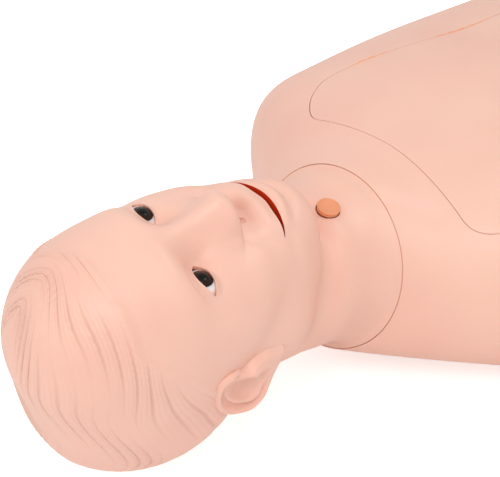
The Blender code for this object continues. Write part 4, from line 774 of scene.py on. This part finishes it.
def jawShare(p):
    # 0 on the skull, 1 on the chin: parted at the mouth, spread over the cheeks, gone under the jaw
    q = toLocal(headFrame, p) * 1000
    a, y, z = np.abs(q[..., 0]), q[..., 1], q[..., 2]
    width = mix(0.25, 34.0, ease((a - 23.0) / 16.0))
    upper, lower = mouthEdges(a)
    share = ease((y - 0.5 * (upper + lower)) / width + 0.5)
    foot, normal = underJaw()
    share = share * ease(-(p - foot) @ normal / 0.026)
    return share * ease((z + 6.0) / 34.0)


def neckShare(p):
    # 0 on the collar and round the plug, 1 under the jaw
    foot, normal = underJaw()
    above = np.maximum((p - foot) @ normal, 0.0)
    y = toLocal(neckFrame, p)[..., 1]
    below = np.maximum(-y - 0.040, 0.0)
    return ease(below / (below + above + 1e-6))


whole = makeHeadSkin()
print("head skin:", len(whole.data.polygons), "faces")
foot, normal = underJaw()
isNeck = (faceValues(whole, "center") - foot) @ normal > 0
headSkin = partOf(whole, "face_and_scalp", ~isNeck)
neckSkin = partOf(whole, "neck_skin", isNeck)
bpy.data.objects.remove(whole)
markLining(headSkin)
underHair, strand = hairMarks(pointsOf(headSkin))
# the folds' painted shade is kept as a mark on the face's points
for key, values in (("underHair", underHair), ("strand", strand), ("foldShade", foldShadeOf(pointsOf(headSkin)))):
    marked(headSkin, key, values)
blendBy(headSkin,
        jawShare(pointsOf(headSkin)))
blendBy(neckSkin,
        neckShare(pointsOf(neckSkin)))
finished(headSkin, None, "soft_skin_vinyl", skinVinyl, "head_skin")
finished(neckSkin, None, "soft_skin_vinyl", skinVinyl, "head_skin")


ear = {"centre": (6.0, 0.0),
       "rim": [(4, 28), (13, 33), (28, 35), (45, 32), (58, 25), (90, 16), (107, 15), (124, 19), (138, 27),
               (150, 33), (163, 35), (183, 33), (211, 29), (242, 25), (272, 25.5), (294, 26), (317, 24.5),
               (343, 24.5)],
       "canal": (1.5, 4.0), "canalDepth": 72.0}


def sideOf(y, z):
    # how far the head's plain side stands out at the head's (y, z)
    return edgeOf(lambda x: skinLevel(toWorld(headFrame, np.stack([x, y, z], -1) * 0.001)) < 0,
                  np.zeros_like(y), np.full_like(y, 110.0), 30)


def earSurface(side):
    # rings from the ear's middle to its rim and back under it; w runs from the lobe by the face to the top
    w = np.linspace(0, 360, 168, endpoint=False)
    points = np.array(ear["rim"], float)
    reach = np.interp(w, points[:, 0], points[:, 1], period=360)
    kernel = np.ones(9) / 9
    reach = np.convolve(np.concatenate([reach[-4:], reach, reach[:4]]), kernel, "valid")
    turn = np.radians(w)[None]
    under = [1.025, 1.03, 1.01, 0.95, 0.87, 0.78, 0.70, 0.64]
    r = np.concatenate([np.linspace(0.02, 1.0, 60), under])[:, None]
    y = ear["centre"][0] + r * reach[None] * np.cos(turn)
    z = ear["centre"][1] + r * reach[None] * np.sin(turn)
    round_ = (w[None] - 128.0) % 360.0
    helix = ease(round_ / 14.0) * ease((214.0 - round_) / 40.0)
    inner = ease((round_ - 62.0) / 30.0) * ease((205.0 - round_) / 40.0)
    x = 79.6 - 0.16 * z - 0.13 * np.maximum(y - 8.0, 0.0)
    x += 2.7 * helix * np.exp(-((r - 0.93) / 0.075) ** 2) - 2.6 * helix * np.exp(-((r - 0.77) / 0.07) ** 2)
    x += 2.0 * inner * np.exp(-((r - 0.60) / 0.085) ** 2)
    x -= 7.5 * np.exp(-(((y - 1.5) / 12.5) ** 2 + ((z + 3.5) / 8.5) ** 2) ** 1.3)
    x -= 3.0 * bell(y, z, -11.0, 4.0, 5.0, 4.0)
    x -= 3.0 * bell(y, z, ear["canal"][0], ear["canal"][1], 2.0, 2.0)
    x += 3.2 * bell(y, z, 8.0, 9.0, 6.0, 2.6) - 2.6 * bell(y, z, 20.5, -1.0, 3.2, 2.2)
    x += 1.2 * bell(y, z, 33.0, 12.0, 8.0, 8.0)
    front = ease((w[None] - 20.0) / 22.0) * ease((132.0 - w[None]) / 16.0)
    sunk = sideOf(y, z) - 1.4
    x = mix(x, np.minimum(x, sunk), front * ease((r - 0.66) / 0.30))
    drop = np.array([-0.9, -2.2, -3.4, -4.4, -5.6, -7.8, -12.0, -20.0])[:, None]
    x[60:] = x[59] + drop
    return closedSkin(toWorld(headFrame, np.stack([side * x, y, z], -1) / 1000))


def earCanal(side):
    # the small blind hole in front of the bowl, as a dark red dot let into it: painted shade of the hole's
    # inside
    y, z = ear["canal"]
    t = np.linspace(0, math.pi, 16)[1:-1]
    points, faces = turned(np.column_stack([np.sin(t), np.cos(t)]), 24)
    points = points[:, [2, 1, 0]] * np.array([1.4, 2.5, 1.5])
    points = points + np.array([ear["canalDepth"], y, z])
    return toWorld(headFrame, points * np.array([side, 1, 1]) / 1000), faces


for name, side in (("ear_right", 1), ("ear_left", -1)):
    made = smoothed(newObject(name, earSurface(side)), 60)
    finished(made, "head", "soft_skin_vinyl", skinVinyl)
    dot = smoothed(newObject(name + "_canal", earCanal(side)), 60)
    finished(dot, "head", "mouth_red_rubber", canalShade)
print("ears made")


def enamelEye(side):
    # painted acrylic eye: white ball, near-black iris and a clear glossy front
    material, tree, shader = newMaterial("eye_enamel_" + ("right" if side > 0 else "left"))
    centre = toWorld(headFrame, eyeMiddle * np.array([side, 1, 1]) / 1000)
    gaze = headFrame[:3, 2]
    place = addNode(tree, "ShaderNodeTexCoord")
    moved = addNode(tree, "ShaderNodeVectorMath", {"operation": "SUBTRACT"}, {0: place.outputs["Object"]})
    moved.inputs[1].default_value = centre.tolist()
    along = addNode(tree, "ShaderNodeVectorMath", {"operation": "DOT_PRODUCT"}, {0: moved.outputs[0]})
    along.inputs[1].default_value = gaze.tolist()
    length = addNode(tree, "ShaderNodeVectorMath", {"operation": "LENGTH"}, {0: moved.outputs[0]})
    cosine = addNode(tree, "ShaderNodeMath", {"operation": "DIVIDE"},
                     {0: along.outputs["Value"], 1: length.outputs["Value"]})
    angle = addNode(tree, "ShaderNodeMath", {"operation": "ARCCOSINE"}, {0: cosine.outputs[0]})
    streak = addNode(tree, "ShaderNodeTexNoise", {"Scale": 900.0, "Detail": 2.0},
                     {"Vector": place.outputs["Object"]})
    wobble = worked(tree, "MULTIPLY_ADD", streak.outputs["Fac"], 0.03)
    tree.links.new(angle.outputs[0], wobble.inputs[2])
    edge = math.asin(face["iris"] / (face["eyeRadius"] + 0.5))
    stops = [(0.0, "#060404"), (0.19, "#080605"), (0.24, "#20130E"), (edge - 0.10, "#2A1A13"),
             (edge - 0.02, "#140D0A"), (edge + 0.035, "#D9D4D6"), (0.85, "#F1EDEC"), (1.0, "#EFD9D2")]
    ramp = colourRamp(tree, wobble.outputs[0], stops)
    tree.links.new(ramp.outputs["Color"], shader.inputs["Base Color"])
    for key, value in {"Roughness": 0.25, "Specular IOR Level": 0.05, "Coat Weight": 0.8,
                       "Coat Roughness": 0.02, "Coat IOR": 1.3}.items():
        shader.inputs[key].default_value = value
    return material


for name, side in (("eye_right", 1), ("eye_left", -1)):
    made = smoothed(newObject(name + "_ball", ballAt(side, face["eyeRadius"], 0.7, 96)), 60)
    finished(made, "head", "eye_enamel", enamelEye(side), name)
print("eyes made")


def makePlug():
    # a disc with a rolled rim round a flat middle, on a short stem
    r, edge = plug["radius"], 0.0011
    t = np.linspace(0, math.pi, 9)
    rim = np.column_stack([r - edge + edge * np.sin(t)[::-1], edge * -np.cos(t)[::-1] + 0.0002])
    stem = [(plug["stem"], -0.014), (plug["stem"], -0.003), (r - 0.0004, -0.0024)]
    front = [(r - 0.0026, 0.0004), (r - 0.0034, 0.0001), (0.002, 0.0002)]
    profile = np.vstack([stem, rim[np.argsort(rim[:, 1])], front])
    shape = turned(profile, 72)
    way = plug["way"]
    a = np.array([1.0, 0.0, 0.0])
    m = np.eye(4)
    m[:3, :3] = np.column_stack([a, np.cross(way, a), way])
    m[:3, 3] = plug["root"] + plugReach() * way
    return smoothed(newObject("throat_plug", placed(shape, neckFrame @ m)))


finished(makePlug(), "neck", "plug_orange_rubber", plugRubber, "stoma_plug")


torso = {"length": 0.500, "half": 0.226, "waistHalf": 0.212, "shoulderRun": 0.130, "chestRun": 0.240,
         "chestRise": 0.087, "waistRise": 0.082, "ring": 0.0784, "wall": 0.006}
cover = {"top": 0.070, "end": 0.455, "chestHalf": 0.130, "waistHalf": 0.094, "corner": 0.028,
         "dip": 0.003, "shear": 0.095, "wall": 0.0028, "gap": 0.0007, "ledge": 0.010}


def torsoSection(s):
    # half width, top, foot, lean and superellipse power of the section at distance s from the collar
    rise = joined(1.10 * s / torso["shoulderRun"], 1.0 + 0 * s, 0.30)
    w = mix(torso["ring"], torso["half"], np.clip(rise, 0, 1))
    past = ease((s - torso["chestRun"]) / (torso["length"] - torso["chestRun"]))
    w = mix(w, torso["waistHalf"], past)
    lifted = 1 - (1 - np.clip(s / torso["chestRun"], 0, 1)) ** 1.6
    ringHeight = torso["ring"] * math.cos(lean)
    top = mix(mix(ringHeight, torso["chestRise"], lifted), torso["waistRise"], past)
    sunk = 1 - (1 - np.clip(s / (1.2 * torso["shoulderRun"]), 0, 1)) ** 1.6
    low = mix(-ringHeight, -0.118, sunk)
    tilt = lean * (1 - ease(s / (1.3 * torso["shoulderRun"])))
    power = mix(2.0, 2.1, ease(s / (0.5 * torso["chestRun"])))
    return w, top, low, tilt, power


def chestRelief(x, s):
    h = 0.005 * bell(np.abs(x), s, 0.080, 0.190, 0.045, 0.050)
    return h - 0.004 * bell(np.abs(x), s, 0.062, 0.055, 0.035, 0.014)


def torsoRings(s, v):
    w, top, low, tilt, power = [k[:, None] for k in torsoSection(s)]
    sn, cs = np.sin(v)[None], np.cos(v)[None]
    x = w * np.sign(sn) * np.abs(sn) ** (2 / power)
    h = (top - low) / 2 / np.cos(tilt) * np.sign(cs) * np.abs(cs) ** (2 / power)
    y = s[:, None] - h * np.sin(tilt)
    z = (top + low) / 2 + h * np.cos(tilt)
    z = z + chestRelief(x, y) * np.clip(cs, 0, 1) ** 0.5
    rings = np.stack([x, y, z], -1) + collarCentre
    rings[..., 2] = np.maximum(rings[..., 2], 0.0)
    return rings


def torsoNormals(s, v):
    step = 1e-4
    along = torsoRings(s + step, v) - torsoRings(s - step, v)
    across = torsoRings(s, v + step) - torsoRings(s, v - step)
    return unit(np.cross(across, along))


def chestTop(x, y):
    # height of the torso's front over plan points given from the collar
    s = y.copy()
    for _ in range(16):
        w, top, low, tilt, power = torsoSection(s)
        sn = np.clip(np.abs(x) / w, 0, 0.999) ** (power / 2)
        cs = np.sqrt(1 - sn ** 2)
        h = (top - low) / 2 / np.cos(tilt) * cs ** (2 / power)
        s = y + h * np.sin(tilt)
    return (top + low) / 2 + h * np.cos(tilt) + chestRelief(x, y) * cs ** 0.5


def leaningCircle(radius, depth, v):
    return toWorld(collarFrame, np.stack([radius * np.sin(v), depth + 0 * v, radius * np.cos(v)], -1))


def torsoShell():
    v = np.linspace(-math.pi, math.pi, 216, endpoint=False)
    end = torso["length"] - 0.0043
    s = np.concatenate([0.21 * np.linspace(0, 1, 70) ** 1.25, np.linspace(0.21, end, 40)[1:]])
    outer = torsoRings(s, v)
    lip = np.array([leaningCircle(0.0774, 0.0001, v), leaningCircle(0.0776, -0.0003, v),
                    leaningCircle(0.0780, -0.0004, v)])
    si = np.concatenate([np.linspace(0.032, 0.21, 16), np.linspace(0.21, end, 8)[1:]])
    inner = torsoRings(si, v) - torso["wall"] * torsoNormals(si, v)
    inner[..., 2] = np.maximum(inner[..., 2], torso["wall"])
    inner[-1, :, 1] = outer[-1, :, 1]
    collar = np.array([leaningCircle(0.070, 0.0146, v), leaningCircle(0.0566, 0.0146, v),
                       leaningCircle(0.0566, 0.0096, v), leaningCircle(0.0773, 0.0096, v),
                       leaningCircle(0.0773, 0.0006, v)])
    rings = np.concatenate([outer, inner[::-1], collar, lip])
    return rings.reshape(-1, 3), wrapFaces(*rings.shape[:2])


def coverPlan(grow, columns=80, rows=90):
    # rows of points over the cover's outline, from its neckline to its end
    bend = np.radians(np.linspace(0, 90, 17))
    radius = cover["corner"] + grow
    start, end = cover["top"] - grow, cover["end"] + grow
    first, last = start + radius * (1 - np.cos(bend)), end - radius * (1 - np.cos(bend))
    y = np.concatenate([first, np.linspace(first[-1], last[-1], rows)[1:-1], last[::-1]])
    half = mix(cover["chestHalf"], cover["waistHalf"], ease((y - 0.110) / 0.190)) + grow
    half -= 0.016 * (1 - ease((y - cover["top"]) / 0.055))
    near = np.minimum(np.minimum(y - start, end - y), radius)
    half -= radius - np.sqrt(np.maximum(radius ** 2 - (radius - near) ** 2, 0.0))
    across = np.sin(np.linspace(-1, 1, columns + 1) * math.pi / 2 * 0.9)
    x = half[:, None] * (across / across[-1])
    dip = cover["dip"] * (x / 0.08) ** 2 * (1 - ease((y - start) / 0.10))[:, None]
    leant = cover["shear"] * np.clip(x, -0.11, 0.11) * (1 - ease((y - start) / 0.16))[:, None]
    return x, y[:, None] - np.minimum(dip, cover["dip"] * 1.4) - leant


def coverSlab(grow, above, below):
    # the torso's front over the outline, from a height above to a depth below
    x, y = coverPlan(grow)
    z = chestTop(x, y)
    rows, columns = x.shape
    index = np.arange(rows * columns).reshape(rows, columns)
    quads = np.stack([index[:-1, :-1], index[:-1, 1:], index[1:, 1:], index[1:, :-1]], -1).reshape(-1, 4)
    edge = np.concatenate([index[0, :-1], index[:-1, -1], index[-1, :0:-1], index[:0:-1, 0]])
    after = np.roll(edge, -1)
    count = rows * columns
    side = np.stack([after, edge, edge + count, after + count], -1)
    points = np.vstack([np.stack([x, y, z + shift], -1).reshape(-1, 3) for shift in (above, -below)])
    return toWorld(torsoFrame, points), np.vstack([quads, quads[:, ::-1] + count, side]).tolist()


def makeTorso():
    obj = newObject("torso_skin", torsoShell())
    carved(obj, coverSlab(cover["gap"], 0.03, cover["wall"] + cover["gap"]))
    carved(obj, coverSlab(-cover["ledge"], 0.035, 0.03))
    return smoothed(obj, 35)


def makeCover():
    obj = newObject("chest_cover_skin", coverSlab(0.0, 0.0, cover["wall"]))
    bevel = obj.modifiers.new("edge", "BEVEL")
    bevel.width = 0.0007
    bevel.segments = 2
    bevel.limit_method = "ANGLE"
    bevel.angle_limit = math.radians(50)
    graph = bpy.context.evaluated_depsgraph_get()
    mesh = bpy.data.meshes.new_from_object(obj.evaluated_get(graph))
    obj.modifiers.clear()
    obj.data = mesh
    return smoothed(obj, 35)


def seamShadeBead(start, end):
    # an orange bead standing in the far seam: painted shade along the seam
    x, y = coverPlan(0.0003)
    edge = np.stack([x[:, 0], y[:, 0]], -1)
    edge = edge[(edge[:, 1] > start) & (edge[:, 1] < end)]
    places = np.linspace(0, len(edge) - 1, 60)
    line = np.stack([np.interp(places, np.arange(len(edge)), edge[:, k]) for k in (0, 1)], -1)
    top = chestTop(line[:, 0], line[:, 1])
    size = 0.0011 * np.sqrt(np.sin(np.linspace(0.02, math.pi - 0.02, 60)))
    size = size * (1 + 0.2 * np.sin(places * 1.7))
    v = np.linspace(0, 2 * math.pi, 12, endpoint=False)
    rings = np.stack([line[:, :1] + 1.5 * size[:, None] * np.cos(v), line[:, 1:] + 0 * v,
                      top[:, None] - 0.0003 + size[:, None] * np.sin(v)], -1)
    return closedSkin(toWorld(torsoFrame, rings))


# orange beads of painted shade along two stretches of the far seam
for name, start, end in (("seam_shade_upper", 0.150, 0.200), ("seam_shade_lower", 0.232, 0.330)):
    finished(smoothed(newObject(name, seamShadeBead(start, end)), 60), "torso", "soft_skin_vinyl", seamShadeOrange)
finished(makeTorso(), "torso", "soft_skin_vinyl", skinVinyl, "torso_shell")
finished(makeCover(), "cover", "soft_skin_vinyl", skinVinyl, "chest_cover")
print("torso and cover made")


view = {"azimuth": math.radians(47.1), "elevation": math.radians(36.1), "focalPixels": 1184.4,
        "eye": (0.52924, -0.68306, 0.70142)}


def makeCamera():
    data = bpy.data.cameras.new("camera")
    data.sensor_width = 36.0
    data.lens = view["focalPixels"] / 500 * 36.0
    camera = bpy.data.objects.new("camera", data)
    scene.collection.objects.link(camera)
    a, e = view["azimuth"], view["elevation"]
    right = np.array([math.cos(a), math.sin(a), 0.0])
    back = np.array([math.sin(a) * math.cos(e), -math.cos(a) * math.cos(e), math.sin(e)])
    m = np.eye(4)
    m[:3, :3] = np.column_stack([right, np.cross(back, right), back])
    m[:3, 3] = view["eye"]
    camera.matrix_world = Matrix(m.tolist())
    scene.camera = camera


def makeLamp(name, place, aim, size, power, colour):
    data = bpy.data.lights.new(name, "AREA")
    data.size = size
    data.energy = power
    data.color = linear(colour)[:3]
    lamp = bpy.data.objects.new(name, data)
    scene.collection.objects.link(lamp)
    lamp.location = place
    lamp.rotation_euler = (Vector(aim) - Vector(place)).to_track_quat("-Z", "Y").to_euler()


def whiteBehind(tree, plain, white, rays):
    # the white one for the rays that look straight at the background, the plain one for the rest
    pick = addNode(tree, "ShaderNodeMixShader", None, {0: rays, 1: plain.outputs[0], 2: white.outputs[0]})
    return pick.outputs[0]


def makeStage():
    size, depth = 6.0, -0.0008
    corners = [[-size, -size, depth], [size, -size, depth], [size, size, depth], [-size, size, depth]]
    floor = newObject("floor", (np.array(corners), [[0, 1, 2, 3]]))
    material = bpy.data.materials.new("pale_floor")
    material.use_nodes = True
    tree = material.node_tree
    tree.nodes.clear()
    matt = addNode(tree, "ShaderNodeBsdfDiffuse", {"Color": linear("#FFFFFF")})
    white = addNode(tree, "ShaderNodeEmission", {"Color": (1, 1, 1, 1), "Strength": 0.55})
    both = addNode(tree, "ShaderNodeAddShader", None, {0: matt.outputs[0], 1: white.outputs[0]})
    seen = addNode(tree, "ShaderNodeLightPath")
    shown = whiteBehind(tree, matt, both, seen.outputs["Is Camera Ray"])
    addNode(tree, "ShaderNodeOutputMaterial", None, {"Surface": shown})
    floor.data.materials.append(material)


def makeWorld():
    world = bpy.data.worlds.new("studio")
    scene.world = world
    world.use_nodes = True
    tree = world.node_tree
    tree.nodes.clear()
    soft = addNode(tree, "ShaderNodeBackground", {"Color": linear("#FDFBFA"), "Strength": 0.66})
    white = addNode(tree, "ShaderNodeBackground", {"Color": (1, 1, 1, 1), "Strength": 1.0})
    seen = addNode(tree, "ShaderNodeLightPath")
    direct = addNode(tree, "ShaderNodeMath", {"operation": "MAXIMUM"},
                     {0: seen.outputs["Is Camera Ray"], 1: seen.outputs["Is Transmission Ray"]})
    shown = whiteBehind(tree, soft, white, direct.outputs[0])
    addNode(tree, "ShaderNodeOutputWorld", None, {"Surface": shown})


makeCamera()
makeStage()
makeWorld()
makeLamp("key", (0.75, -0.95, 1.75), (0.0, -0.05, 0.15), 0.75, 10.0, "#FFFCFA")
makeLamp("front", (-0.1, -1.7, 1.2), (0.0, -0.1, 0.12), 1.5, 5.2, "#FFFAFA")
makeLamp("far", (-1.6, 0.5, 1.2), (0.0, -0.05, 0.12), 1.6, 2.0, "#FFF2F8")
# a small lamp mirrored in the near eye, so that a glint shows on its iris
nearEye = toWorld(headFrame, eyeMiddle / 1000)
toCamera = unit(np.array(view["eye"]) - nearEye)
glintNormal = headFrame[:3, :3] @ unit(np.array([0.24, -0.02, 0.96]))
glintPlace = nearEye + 2.0 * (2 * (glintNormal @ toCamera) * glintNormal - toCamera)
makeLamp("glint", glintPlace.tolist(), nearEye.tolist(), 0.12, 5.0, "#FFFFFF")
print("stage made")
